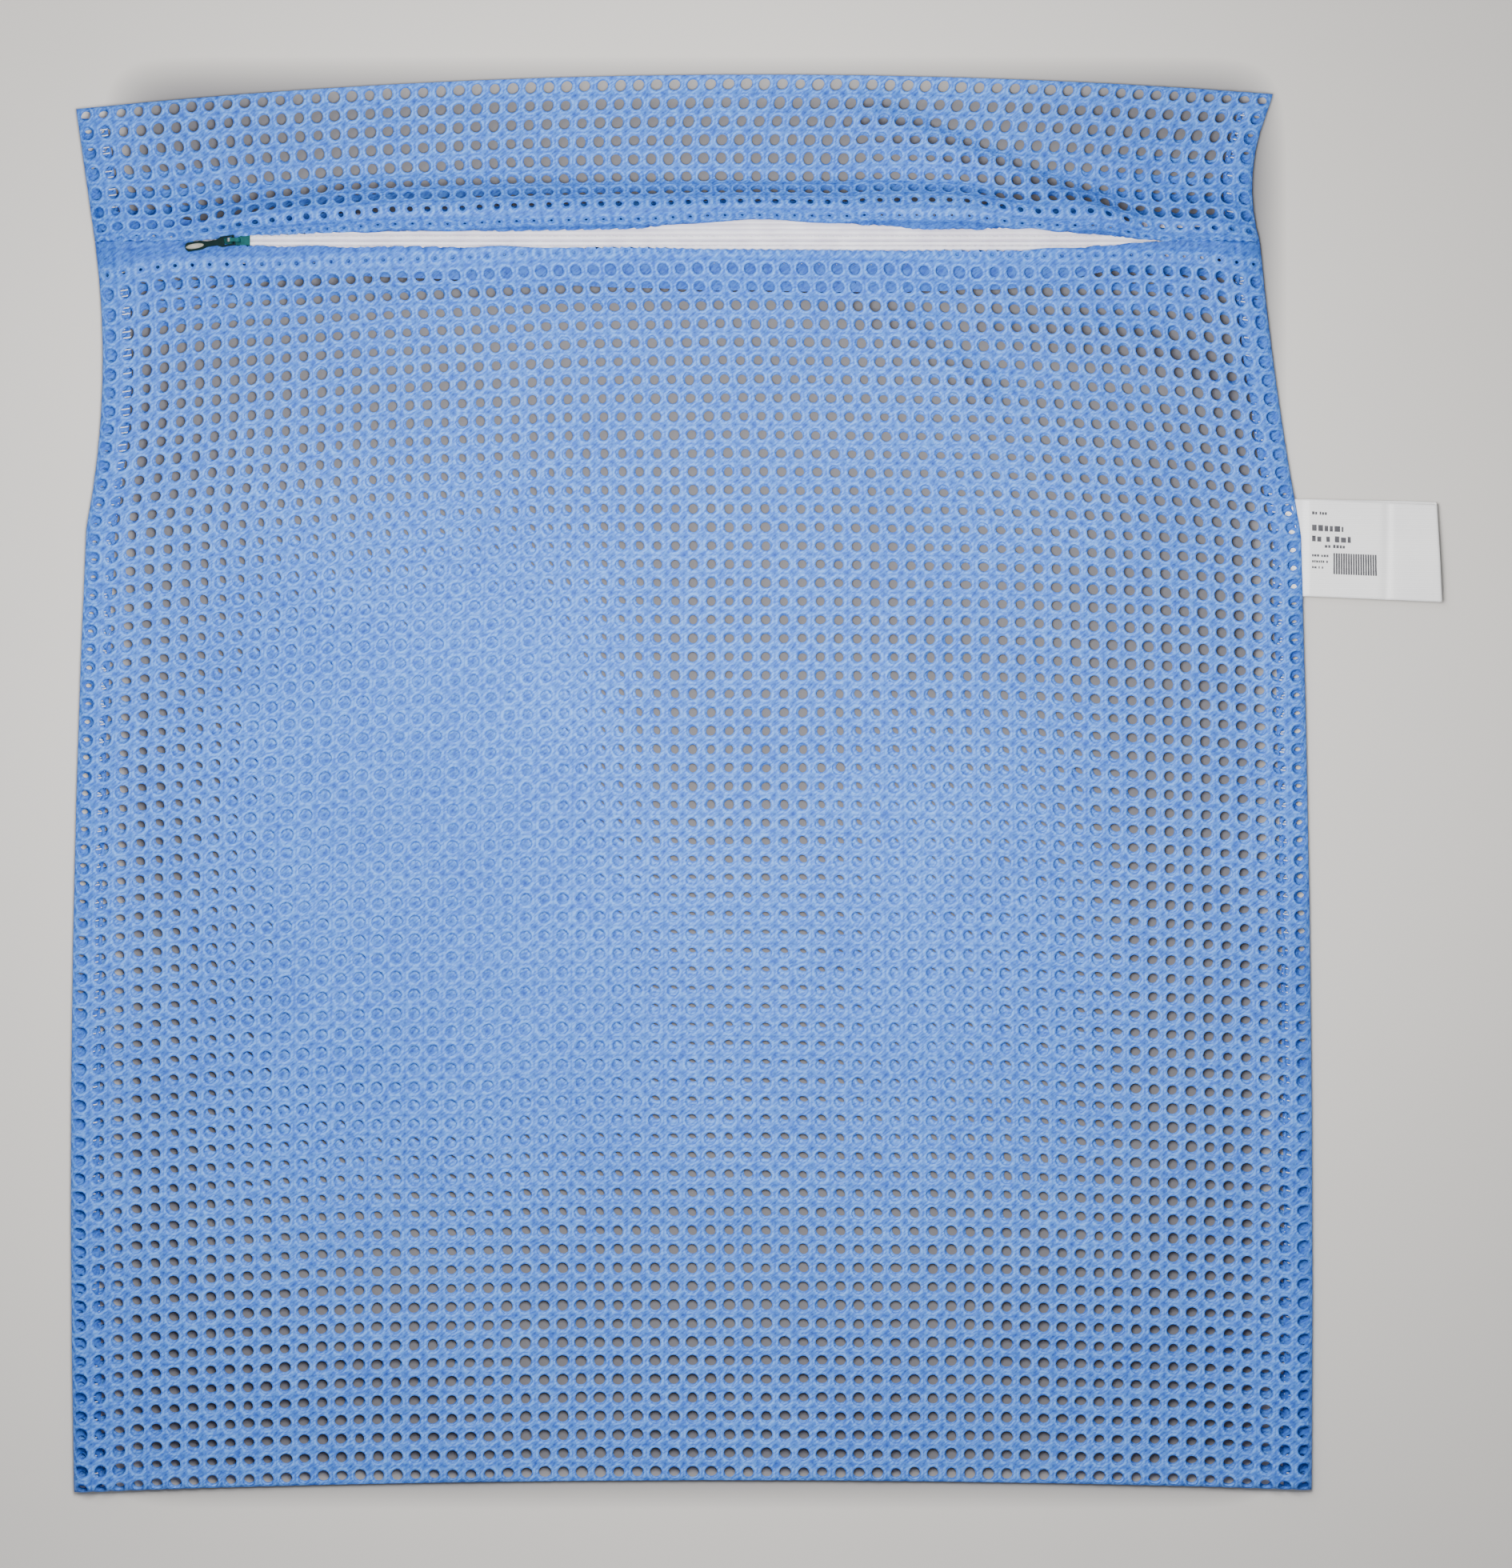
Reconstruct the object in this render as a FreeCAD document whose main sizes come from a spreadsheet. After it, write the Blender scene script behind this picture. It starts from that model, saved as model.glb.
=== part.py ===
"""Mesh laundry bag with a coil zip, lying flat and empty on its back.

Frame, in millimetres: +Z up, +Y from the bottom fold towards the zip end, +X from the
closed end of the zip towards its open end. The origin is on the flat underside.
"""
import FreeCAD, Part
import math
import os
import Sketcher

Vector = FreeCAD.Vector

# (name, size, what it is). Lengths in mm, angles in degrees; coordinates carry their sign.
SIZES = [
    # Outline of the bag as it lies, corner by corner
    ("bottom_left_x", -199.8, "bottom left corner"),
    ("bottom_left_y", -229.2, "bottom left corner"),
    ("bottom_right_x", 199.8, "bottom right corner"),
    ("bottom_right_y", -228.4, "bottom right corner"),
    ("shoulder_right_x", 196.3, "where the right side starts to draw in"),
    ("shoulder_right_y", 80.0, "where the right side starts to draw in"),
    ("shoulder_left_x", -195.8, "where the left side starts to draw in"),
    ("shoulder_left_y", 82.2, "where the left side starts to draw in"),
    ("waist_left_x", -193.0, "left side at the zip"),
    ("waist_right_x", 183.0, "right side at the zip"),
    ("top_left_x", -198.9, "top left corner"),
    ("top_left_y", 217.5, "top left corner"),
    ("top_right_x", 187.4, "top right corner"),
    ("top_right_y", 222.3, "top right corner"),
    ("bottom_bow", 5700.0, "radius of the bottom fold's inward bow"),
    ("top_bow", 2190.0, "radius of the top fold's outward bow"),
    ("side_right_bow", 8000.0, "radius of the right side's outward bow"),
    ("side_left_bow", 4600.0, "radius of the left side's outward bow"),
    ("hip_right_bow", 1000.0, "radius of the right side below the zip, drawn in"),
    ("hip_left_bow", 283.0, "radius of the left side below the zip, drawn in"),
    ("neck_right_bow", 63.0, "radius of the right side above the zip, drawn in"),
    # Cloth levels
    ("cloth", 0.6, "thickness of one ply of net"),
    ("front_low", 2.3, "underside of the front cloth away from the zip"),
    ("hem_low", 4.8, "underside of the hems beside the zip"),
    ("fold_depth", 1.5, "width of the folds"),
    ("slope_front_start", -44.0, "front cloth starts to rise, from the zip line"),
    ("slope_front_end", -9.0, "front cloth reaches hem height, from the zip line"),
    ("slope_top_start", 31.0, "top strip starts to rise, from the zip line"),
    ("slope_top_end", 9.0, "top strip reaches hem height, from the zip line"),
    # Side seams, turned inside
    ("seam_outer", 0.4, "outer edge of the turned-in cloth, from the side"),
    ("seam_inner", 6.2, "inner edge of the turned-in cloth, from the side"),
    ("thread_outer", 7.1, "overlock thread, from the side"),
    ("thread_inner", 7.9, "overlock thread, from the side"),
    ("seam_low", 0.65, "underside of the turned-in cloth"),
    ("seam_high", 1.6, "top of the turned-in cloth"),
    ("seam_end", 2.5, "distance of the seams' ends from the folds"),
    ("lump_half", 8.0, "half length of the thick place where the zip tape is caught"),
    ("lump_outer", 2.0, "outer edge of that thick place, from the side"),
    ("lump_inner", 6.0, "inner edge of that thick place, from the side"),
    # Zip
    ("zip_y", 174.6, "zip line"),
    ("slit_left", -166.0, "left end of the slit between the hems"),
    ("slit_right", 148.0, "right end of the slit between the hems"),
    ("slit_half", 1.2, "half width of the slit at its ends"),
    ("slit_upper_bow", 2243.0, "radius of the upper hem's bow"),
    ("slit_lower_bow", 6848.0, "radius of the lower hem's bow"),
    ("hem_gap", 0.15, "half gap between the hems past the slit"),
    ("tape_left", -178.0, "left end of the tapes"),
    ("tape_right", 169.0, "right end of the tapes"),
    ("tape_half_gap", 0.65, "half gap between the two tapes and coils"),
    ("tape_edge", 9.0, "outer edge of each tape from the zip line"),
    ("tape_low", 3.05, "underside of the tapes"),
    ("tape_high", 3.45, "top of the tapes"),
    ("coil_left", -151.5, "left end of the coils"),
    ("coil_right", 142.0, "right end of the coils"),
    ("coil_outer", 2.95, "outer edge of each coil from the zip line"),
    ("coil_low", 1.75, "underside of the coils"),
    ("cord_bore", 0.45, "radius of the hollow inside each coil"),
    ("cord_radius", 0.38, "radius of the cord inside each coil"),
    ("stitch_near", 1.3, "coil stitching, near edge from the zip line"),
    ("stitch_far", 1.7, "coil stitching, far edge from the zip line"),
    ("stitch_high", 3.6, "top of the coil stitching"),
    ("hem_stitch_near", 6.2, "hem stitching, near edge from the zip line"),
    ("hem_stitch_far", 6.7, "hem stitching, far edge from the zip line"),
    ("hem_stitch_high", 4.0, "top of the hem stitching"),
    ("stop_length", 3.0, "length of each moulded stop"),
    ("stop_gap", 0.3, "gap between a stop and the coil"),
    ("stop_inner", 0.7, "inner edge of a top stop from the zip line"),
    ("stop_outer", 3.1, "outer edge of a stop from the zip line"),
    ("tack_left", -170.0, "left bar tack"),
    ("tack_right", 150.0, "right bar tack"),
    ("tack_length", 1.5, "size of a bar tack along the zip"),
    ("tack_half", 5.0, "half width of a bar tack across the zip"),
    # Slider, measured from its own centre
    ("slider_x", -147.0, "slider's centre with the zip closed"),
    ("slider_half", 4.3, "half length of the slider's plates"),
    ("plate_half", 3.9, "half width of the slider's plates"),
    ("plate_round", 2.2, "corner radius of the slider's plates"),
    ("bottom_low", 0.9, "underside of the bottom plate"),
    ("bottom_high", 1.5, "top of the bottom plate"),
    ("flange_high", 2.75, "top of the side flanges"),
    ("flange_inner", 3.3, "inner face of the side flanges"),
    ("flange_half", 2.4, "half length of the side flanges"),
    ("top_low", 3.85, "underside of the top plate"),
    ("top_high", 4.5, "top of the top plate"),
    ("wedge_left", -3.4, "left end of the wedge between the plates"),
    ("wedge_right", -0.4, "right end of the wedge between the plates"),
    ("wedge_half", 0.35, "half thickness of the wedge"),
    ("bridge_x", -0.7, "middle of the bridge, from the slider's centre"),
    ("bridge_half", 2.1, "half length of the bridge, outside"),
    ("bridge_inside", 1.3, "half length of the bridge's opening"),
    ("bridge_width", 1.2, "width of the bridge"),
    ("bridge_high", 7.7, "top of the bridge"),
    ("bridge_under", 7.0, "top of the bridge's opening"),
    ("bridge_round", 0.8, "rounding of the bridge's upper corners"),
    # Pull, measured from its pivot and pointing left
    ("pivot_x", -147.7, "pivot of the pull"),
    ("pull_yaw", 9.0, "angle of the pull to the zip line"),
    ("pull_low", 6.0, "underside of the pull"),
    ("pull_thick", 0.8, "thickness of the pull"),
    ("pull_length", 16.5, "pivot to the tip, less its rounding"),
    ("eye_half", 1.7, "half width of the eye end"),
    ("eye_end", 4.0, "length of the eye end from the pivot"),
    ("hole_half", 1.2, "half width of the hole in the eye"),
    ("hole_start", 0.4, "near end of the hole from the pivot"),
    ("hole_end", 3.1, "far end of the hole from the pivot"),
    ("neck_half", 0.9, "half width of the neck"),
    ("neck_start", 5.6, "where the neck starts, from the pivot"),
    ("neck_end", 8.6, "where the neck ends, from the pivot"),
    ("tip_half", 1.45, "half width of the tip"),
    ("tip_start", 10.6, "where the tip reaches its width, from the pivot"),
    ("tip_round", 1.6, "radius of the tip's end"),
    ("pivot_round", 0.35, "rounding of the bar that turns in the bridge"),
    # Care label, a folded ribbon sewn into the right seam
    ("label_y", 75.8, "middle of the label"),
    ("label_half", 15.8, "half width of the ribbon"),
    ("label_start", 198.71, "near end of the loop, outside the seam"),
    ("label_end", 241.5, "folded end of the loop"),
    ("label_low", 1.6, "underside of the loop"),
    ("label_thick", 0.6, "thickness of the two plies"),
    ("label_round", 0.29, "rounding of the edge that the loop turns on"),
    ("tail_start", 189.0, "raw ends of the ribbon inside the bag"),
    ("tail_end", 198.3, "where the ribbon leaves the seam"),
    ("tail_low", 1.7, "underside of the sewn ends"),
    ("tail_high", 2.15, "top of the sewn ends"),
]
NAMES = {name for name, size, note in SIZES}
ACROSS = 500.0          # longer than the bag is wide: cuts right across it
ABOVE = 10.0            # higher than anything on the bag

doc = FreeCAD.newDocument("mesh_laundry_bag")
sheet = doc.addObject("Spreadsheet::Sheet", "dims")
nodes = []


def fill_sheet():
    """Write each size, its name and its meaning into one row of the sheet."""
    for row, (name, size, note) in enumerate(SIZES, 1):
        sheet.set(f"A{row}", name)
        sheet.set(f"B{row}", str(size))
        sheet.setAlias(f"B{row}", name)
        sheet.set(f"C{row}", note)
    doc.recompute()


def number(formula):
    """Value of a sum of sheet names and plain numbers, such as 'zip_y + slit_half'."""
    total = 0.0
    sign = 1.0
    for word in formula.split():
        if word in "+-":
            sign = 1.0 if word == "+" else -1.0
        else:
            total += sign * float(sheet.get(word) if word in NAMES else word)
            sign = 1.0
    return total


def bound(formula):
    """The same sum as an expression on the sheet."""
    return " ".join("dims." + word if word in NAMES else word for word in formula.split())


def new_body(label):
    """An empty body that will be written as one node."""
    body = doc.addObject("PartDesign::Body", label)
    body.Label = label
    nodes.append(body)
    return body


def new_sketch(body, name, role="XY_Plane", level="0"):
    """A sketch on one of the body's own origin planes, moved along its normal by level."""
    sketch = body.newObject("Sketcher::SketchObject", f"{body.Name}_{name}")
    plane = next(f for f in body.Origin.OriginFeatures if f.Role == role)
    sketch.AttachmentSupport = (plane, [""])
    sketch.MapMode = "FlatFace"
    sketch.setExpression("AttachmentOffset.Base.z", bound(level))
    return sketch


def arc_between(start, end, radius, turn):
    """Arc from start to end; turn is 1 where its centre lies to the left of the way."""
    chord = end.sub(start)
    half = chord.Length / 2
    left = Vector(-chord.y, chord.x, 0).normalize()
    centre = (start + end) * 0.5 + left * (turn * math.sqrt(radius**2 - half**2))
    first, last = (start, end) if turn > 0 else (end, start)
    begin = math.atan2(first.y - centre.y, first.x - centre.x)
    finish = math.atan2(last.y - centre.y, last.x - centre.x)
    circle = Part.Circle(centre, Vector(0, 0, 1), radius)
    return Part.ArcOfCircle(circle, begin, finish)


def tie(sketch, constraint, name, formula):
    """Add one dimension to a sketch and bind it to the sheet."""
    index = sketch.addConstraint(constraint)
    sketch.renameConstraint(index, name)
    sketch.setExpression(f"Constraints.{name}", bound(formula))


def draw(sketch, corners):
    """Closed outline. A corner is (x, y) or (x, y, radius, turn) of the edge leaving it."""
    count = len(corners)
    points = [Vector(number(corner[0]), number(corner[1]), 0) for corner in corners]
    ends = []
    for i, corner in enumerate(corners):
        start, end = points[i], points[(i + 1) % count]
        if len(corner) == 2:
            index = sketch.addGeometry(Part.LineSegment(start, end), False)
            ends.append((index, 1, 2))
            continue
        radius, turn = corner[2], corner[3]
        index = sketch.addGeometry(arc_between(start, end, number(radius), turn), False)
        ends.append((index, 1, 2) if turn > 0 else (index, 2, 1))
        tie(sketch, Sketcher.Constraint("Radius", index, number(radius)), f"r{i}", radius)
    for i, corner in enumerate(corners):
        index, first, last = ends[i]
        after, after_first, after_last = ends[(i + 1) % count]
        sketch.addConstraint(Sketcher.Constraint("Coincident", index, last, after, after_first))
        point = points[i]
        along = Sketcher.Constraint("DistanceX", -1, 1, index, first, point.x)
        across = Sketcher.Constraint("DistanceY", -1, 1, index, first, point.y)
        tie(sketch, along, f"x{i}", corner[0])
        tie(sketch, across, f"y{i}", corner[1])


def rectangle(left, right, low, high):
    """Corners of an upright rectangle."""
    return [(left, low), (right, low), (right, high), (left, high)]


def pad(body, name, corners, low, high):
    """Outline in plan, padded from one level to another."""
    sketch = new_sketch(body, name, level=low)
    draw(sketch, corners)
    feature = body.newObject("PartDesign::Pad", f"{body.Name}_{name}_pad")
    feature.Profile = sketch
    feature.setExpression("Length", f"({bound(high)}) - ({bound(low)})")
    doc.recompute()
    return feature


def cut_across(body, name, corners):
    """Remove a side-view outline (Y, Z) right across the body."""
    sketch = new_sketch(body, name, role="YZ_Plane")
    draw(sketch, corners)
    before = body.Shape.Volume
    feature = body.newObject("PartDesign::Pocket", f"{body.Name}_{name}_cut")
    feature.Profile = sketch
    feature.SideType = "Symmetric"
    feature.Length = ACROSS
    doc.recompute()
    if body.Shape.Volume >= before:
        raise ValueError(f"{body.Label}: {name} cuts nothing")


def round_edges(body, name, keep, radius):
    """Fillet the edges of the body's last feature that keep() picks."""
    base = body.Tip
    edges = [f"Edge{i}" for i, edge in enumerate(base.Shape.Edges, 1) if keep(edge)]
    feature = body.newObject("PartDesign::Fillet", f"{body.Name}_{name}")
    feature.Base = (base, edges)
    feature.setExpression("Radius", bound(radius))
    doc.recompute()


def is_upright(edge):
    """True for a straight edge along Z."""
    box = edge.BoundBox
    return box.ZLength > 0.1 and box.XLength < 1e-4 and box.YLength < 1e-4


def back_net():
    """The whole back of the bag: one ply of net, flat on what the bag lies on."""
    pad(new_body("back_net"), "outline", [
        ("bottom_left_x", "bottom_left_y + fold_depth", "bottom_bow", -1),
        ("bottom_right_x", "bottom_right_y + fold_depth", "side_right_bow", 1),
        ("shoulder_right_x", "shoulder_right_y", "hip_right_bow", -1),
        ("waist_right_x", "zip_y", "neck_right_bow", -1),
        ("top_right_x", "top_right_y - fold_depth", "top_bow", 1),
        ("top_left_x", "top_left_y - fold_depth"),
        ("waist_left_x", "zip_y", "hip_left_bow", -1),
        ("shoulder_left_x", "shoulder_left_y", "side_left_bow", 1),
    ], "0", "cloth")


def front_net():
    """Front ply from the bottom fold to the zip, rising over the zip to its hem."""
    body = new_body("front_net")
    pad(body, "outline", [
        ("bottom_left_x", "bottom_left_y + fold_depth", "bottom_bow", -1),
        ("bottom_right_x", "bottom_right_y + fold_depth", "side_right_bow", 1),
        ("shoulder_right_x", "shoulder_right_y", "hip_right_bow", -1),
        ("waist_right_x", "zip_y - hem_gap"),
        ("slit_right", "zip_y - hem_gap"),
        ("slit_right", "zip_y - slit_half", "slit_lower_bow", -1),
        ("slit_left", "zip_y - slit_half"),
        ("slit_left", "zip_y - hem_gap"),
        ("waist_left_x", "zip_y - hem_gap", "hip_left_bow", -1),
        ("shoulder_left_x", "shoulder_left_y", "side_left_bow", 1),
    ], "front_low", "hem_low + cloth")
    cut_across(body, "above", [
        (f"bottom_left_y - {ABOVE}", "front_low + cloth"),
        ("zip_y + slope_front_start", "front_low + cloth"),
        ("zip_y + slope_front_end", "hem_low + cloth"),
        ("zip_y + slope_front_end", f"hem_low + {ABOVE}"),
        (f"bottom_left_y - {ABOVE}", f"hem_low + {ABOVE}"),
    ])
    cut_across(body, "below", [
        ("zip_y + slope_front_start", "front_low"),
        ("zip_y + slope_front_start", "0"),
        (f"zip_y + {ABOVE}", "0"),
        (f"zip_y + {ABOVE}", "hem_low"),
        ("zip_y + slope_front_end", "hem_low"),
    ])


def top_net():
    """Front ply between the zip and the top fold."""
    body = new_body("top_net")
    pad(body, "outline", [
        ("waist_left_x", "zip_y + hem_gap"),
        ("slit_left", "zip_y + hem_gap"),
        ("slit_left", "zip_y + slit_half", "slit_upper_bow", -1),
        ("slit_right", "zip_y + slit_half"),
        ("slit_right", "zip_y + hem_gap"),
        ("waist_right_x", "zip_y + hem_gap", "neck_right_bow", -1),
        ("top_right_x", "top_right_y - fold_depth", "top_bow", 1),
        ("top_left_x", "top_left_y - fold_depth"),
    ], "front_low", "hem_low + cloth")
    cut_across(body, "above", [
        ("zip_y + slope_top_end", "hem_low + cloth"),
        ("zip_y + slope_top_start", "front_low + cloth"),
        (f"top_right_y + {ABOVE}", "front_low + cloth"),
        (f"top_right_y + {ABOVE}", f"hem_low + {ABOVE}"),
        ("zip_y + slope_top_end", f"hem_low + {ABOVE}"),
    ])
    cut_across(body, "below", [
        (f"zip_y - {ABOVE}", "0"),
        ("zip_y + slope_top_start", "0"),
        ("zip_y + slope_top_start", "front_low"),
        ("zip_y + slope_top_end", "hem_low"),
        (f"zip_y - {ABOVE}", "hem_low"),
    ])


def folds():
    """Top and bottom folds, where the net turns from back to front with no seam."""
    pad(new_body("top_fold"), "strip", [
        ("top_left_x", "top_left_y - fold_depth", "top_bow", -1),
        ("top_right_x", "top_right_y - fold_depth"),
        ("top_right_x", "top_right_y", "top_bow", 1),
        ("top_left_x", "top_left_y"),
    ], "0", "front_low + cloth")
    pad(new_body("bottom_fold"), "strip", [
        ("bottom_left_x", "bottom_left_y", "bottom_bow", -1),
        ("bottom_right_x", "bottom_right_y"),
        ("bottom_right_x", "bottom_right_y + fold_depth", "bottom_bow", 1),
        ("bottom_left_x", "bottom_left_y + fold_depth"),
    ], "0", "front_low + cloth")


def left_strip(outer, inner):
    """Plan of a strip that follows the left side between two distances from it."""
    low = "bottom_left_y + seam_end"
    high = "top_left_y - seam_end"
    return [
        (f"bottom_left_x + {outer}", low),
        (f"bottom_left_x + {inner}", low, "side_left_bow", -1),
        (f"shoulder_left_x + {inner}", "shoulder_left_y", "hip_left_bow", 1),
        (f"waist_left_x + {inner}", "zip_y"),
        (f"top_left_x + {inner}", high),
        (f"top_left_x + {outer}", high),
        (f"waist_left_x + {outer}", "zip_y", "hip_left_bow", -1),
        (f"shoulder_left_x + {outer}", "shoulder_left_y", "side_left_bow", 1),
    ]


def right_strip(outer, inner):
    """Plan of a strip that follows the right side between two distances from it."""
    low = "bottom_right_y + seam_end"
    high = "top_right_y - seam_end"
    return [
        (f"bottom_right_x - {inner}", low),
        (f"bottom_right_x - {outer}", low, "side_right_bow", 1),
        (f"shoulder_right_x - {outer}", "shoulder_right_y", "hip_right_bow", -1),
        (f"waist_right_x - {outer}", "zip_y", "neck_right_bow", -1),
        (f"top_right_x - {outer}", high),
        (f"top_right_x - {inner}", high, "neck_right_bow", 1),
        (f"waist_right_x - {inner}", "zip_y", "hip_right_bow", 1),
        (f"shoulder_right_x - {inner}", "shoulder_right_y", "side_right_bow", -1),
    ]


def side_seams():
    """Turned-in cloth of both side seams, thick where the zip tape is caught, and thread."""
    low, high = "zip_y - lump_half", "zip_y + lump_half"
    top = "hem_low - hem_gap"
    left = new_body("left_seam_allowance")
    pad(left, "strip", left_strip("seam_outer", "seam_inner"), "seam_low", "seam_high")
    lump = rectangle("waist_left_x + lump_outer", "waist_left_x + lump_inner", low, high)
    pad(left, "lump", lump, "seam_low", top)
    right = new_body("right_seam_allowance")
    pad(right, "strip", right_strip("seam_outer", "seam_inner"), "seam_low", "seam_high")
    lump = rectangle("waist_right_x - lump_inner", "waist_right_x - lump_outer", low, high)
    pad(right, "lump", lump, "seam_low", top)
    pad(new_body("left_seam_thread"), "strip", left_strip("thread_outer", "thread_inner"),
        "seam_low", "seam_high")
    pad(new_body("right_seam_thread"), "strip", right_strip("thread_outer", "thread_inner"),
        "seam_low", "seam_high")


def across_zip(sign, near, far):
    """Lower and upper limits in Y of something beside the zip line."""
    if sign == "+":
        return f"zip_y + {near}", f"zip_y + {far}"
    return f"zip_y - {far}", f"zip_y - {near}"


def zip_half(side, sign):
    """One half of the zip: tape, hollow coil, the cord in it, and both rows of stitching."""
    low, high = across_zip(sign, "tape_half_gap", "tape_edge")
    pad(new_body(f"zip_{side}_tape"), "plan", rectangle("tape_left", "tape_right", low, high),
        "tape_low", "tape_high")
    coil_and_cord(side, sign)
    low, high = across_zip(sign, "stitch_near", "stitch_far")
    pad(new_body(f"{side}_coil_stitching"), "plan",
        rectangle("coil_left", "coil_right", low, high), "tape_high", "stitch_high")
    low, high = across_zip(sign, "hem_stitch_near", "hem_stitch_far")
    pad(new_body(f"{side}_hem_stitching"), "plan",
        rectangle("tape_left", "tape_right", low, high), "tape_high", "hem_stitch_high")


def coil_and_cord(side, sign):
    """The coil as a hollow bar, and the round cord that its turns are wound on."""
    across = (number("tape_half_gap") + number("coil_outer")) / 2
    middle = f"zip_y {sign} {across}"
    height = f"{(number('coil_low') + number('tape_low')) / 2}"
    low, high = across_zip(sign, "tape_half_gap", "coil_outer")
    coil = new_body(f"zip_{side}_coil")
    section = new_sketch(coil, "section", role="YZ_Plane", level="coil_left")
    draw(section, rectangle(low, high, "coil_low", "tape_low"))
    ring(section, middle, height, "cord_bore")
    cord = new_body(f"{side}_core_cord")
    core = new_sketch(cord, "section", role="YZ_Plane", level="coil_left")
    ring(core, middle, height, "cord_radius")
    for body, sketch in ((coil, section), (cord, core)):
        feature = body.newObject("PartDesign::Pad", f"{body.Name}_pad")
        feature.Profile = sketch
        feature.setExpression("Length", bound("coil_right - coil_left"))
    doc.recompute()


def ring(sketch, x, y, radius):
    """A circle in a sketch, bound to the sheet."""
    centre = Vector(number(x), number(y), 0)
    index = sketch.addGeometry(Part.Circle(centre, Vector(0, 0, 1), number(radius)), False)
    tie(sketch, Sketcher.Constraint("Radius", index, number(radius)), f"radius{index}", radius)
    along = Sketcher.Constraint("DistanceX", -1, 1, index, 3, centre.x)
    across = Sketcher.Constraint("DistanceY", -1, 1, index, 3, centre.y)
    tie(sketch, along, f"centre_x{index}", x)
    tie(sketch, across, f"centre_y{index}", y)


def stops_and_tacks():
    """Moulded stops at the coils' ends, and the bar tacks that close the slit's ends."""
    for side, sign in (("upper", "+"), ("lower", "-")):
        low, high = across_zip(sign, "stop_inner", "stop_outer")
        pad(new_body(f"zip_{side}_top_stop"), "plan",
            rectangle("coil_left - stop_gap - stop_length", "coil_left - stop_gap", low, high),
            "coil_low", "tape_low")
    pad(new_body("zip_bottom_stop"), "plan",
        rectangle("coil_right + stop_gap", "coil_right + stop_gap + stop_length",
                  "zip_y - stop_outer", "zip_y + stop_outer"), "coil_low", "tape_low")
    for side in ("left", "right"):
        pad(new_body(f"{side}_bar_tack"), "plan",
            rectangle(f"tack_{side}", f"tack_{side} + tack_length",
                      "zip_y - tack_half", "zip_y + tack_half"), "tape_high", "hem_stitch_high")


def plate(body, name, low, high):
    """One of the slider's two rounded plates."""
    left, right = "- slider_half", "slider_half"
    pad(body, name, rectangle(left, right, "- plate_half", "plate_half"), low, high)


def slider_body():
    """Slider casting: bottom plate with flanges, wedge, top plate and the bridge on it."""
    body = new_body("slider_body")
    plate(body, "bottom", "bottom_low", "bottom_high")
    round_edges(body, "bottom_round", is_upright, "plate_round")
    for side in ("- plate_half", "flange_inner"):
        other = "- flange_inner" if side.startswith("-") else "plate_half"
        pad(body, "flange" + ("_low" if side.startswith("-") else "_high"),
            rectangle("- flange_half", "flange_half", side, other),
            "bottom_low", "flange_high")
    pad(body, "wedge", rectangle("wedge_left", "wedge_right", "- wedge_half", "wedge_half"),
        "bottom_low", "top_low")
    plate(body, "top", "top_low", "top_high")
    low, high = number("top_low"), number("top_high")

    def is_top_corner(edge):
        box = edge.BoundBox
        return is_upright(edge) and box.ZMin > low - 0.01 and box.ZMax < high + 0.01

    round_edges(body, "top_round", is_top_corner, "plate_round")
    bridge(body)
    body.setExpression("Placement.Base.x", bound("slider_x"))
    body.setExpression("Placement.Base.y", bound("zip_y"))
    doc.recompute()


def bridge(body):
    """The low arch on the top plate that the pull's eye hangs on."""
    left, right = "bridge_x - bridge_half", "bridge_x + bridge_half"
    sketch = new_sketch(body, "bridge", role="XZ_Plane")
    draw(sketch, [
        (left, "top_low"),
        ("bridge_x - bridge_inside", "top_low"),
        ("bridge_x - bridge_inside", "bridge_under"),
        ("bridge_x + bridge_inside", "bridge_under"),
        ("bridge_x + bridge_inside", "top_low"),
        (right, "top_low"),
        (right, "bridge_high - bridge_round", "bridge_round", 1),
        (f"{right} - bridge_round", "bridge_high"),
        (f"{left} + bridge_round", "bridge_high", "bridge_round", 1),
        (left, "bridge_high - bridge_round"),
    ])
    feature = body.newObject("PartDesign::Pad", "slider_bridge_pad")
    feature.Profile = sketch
    feature.SideType = "Symmetric"
    feature.setExpression("Length", bound("bridge_width"))
    doc.recompute()


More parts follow.
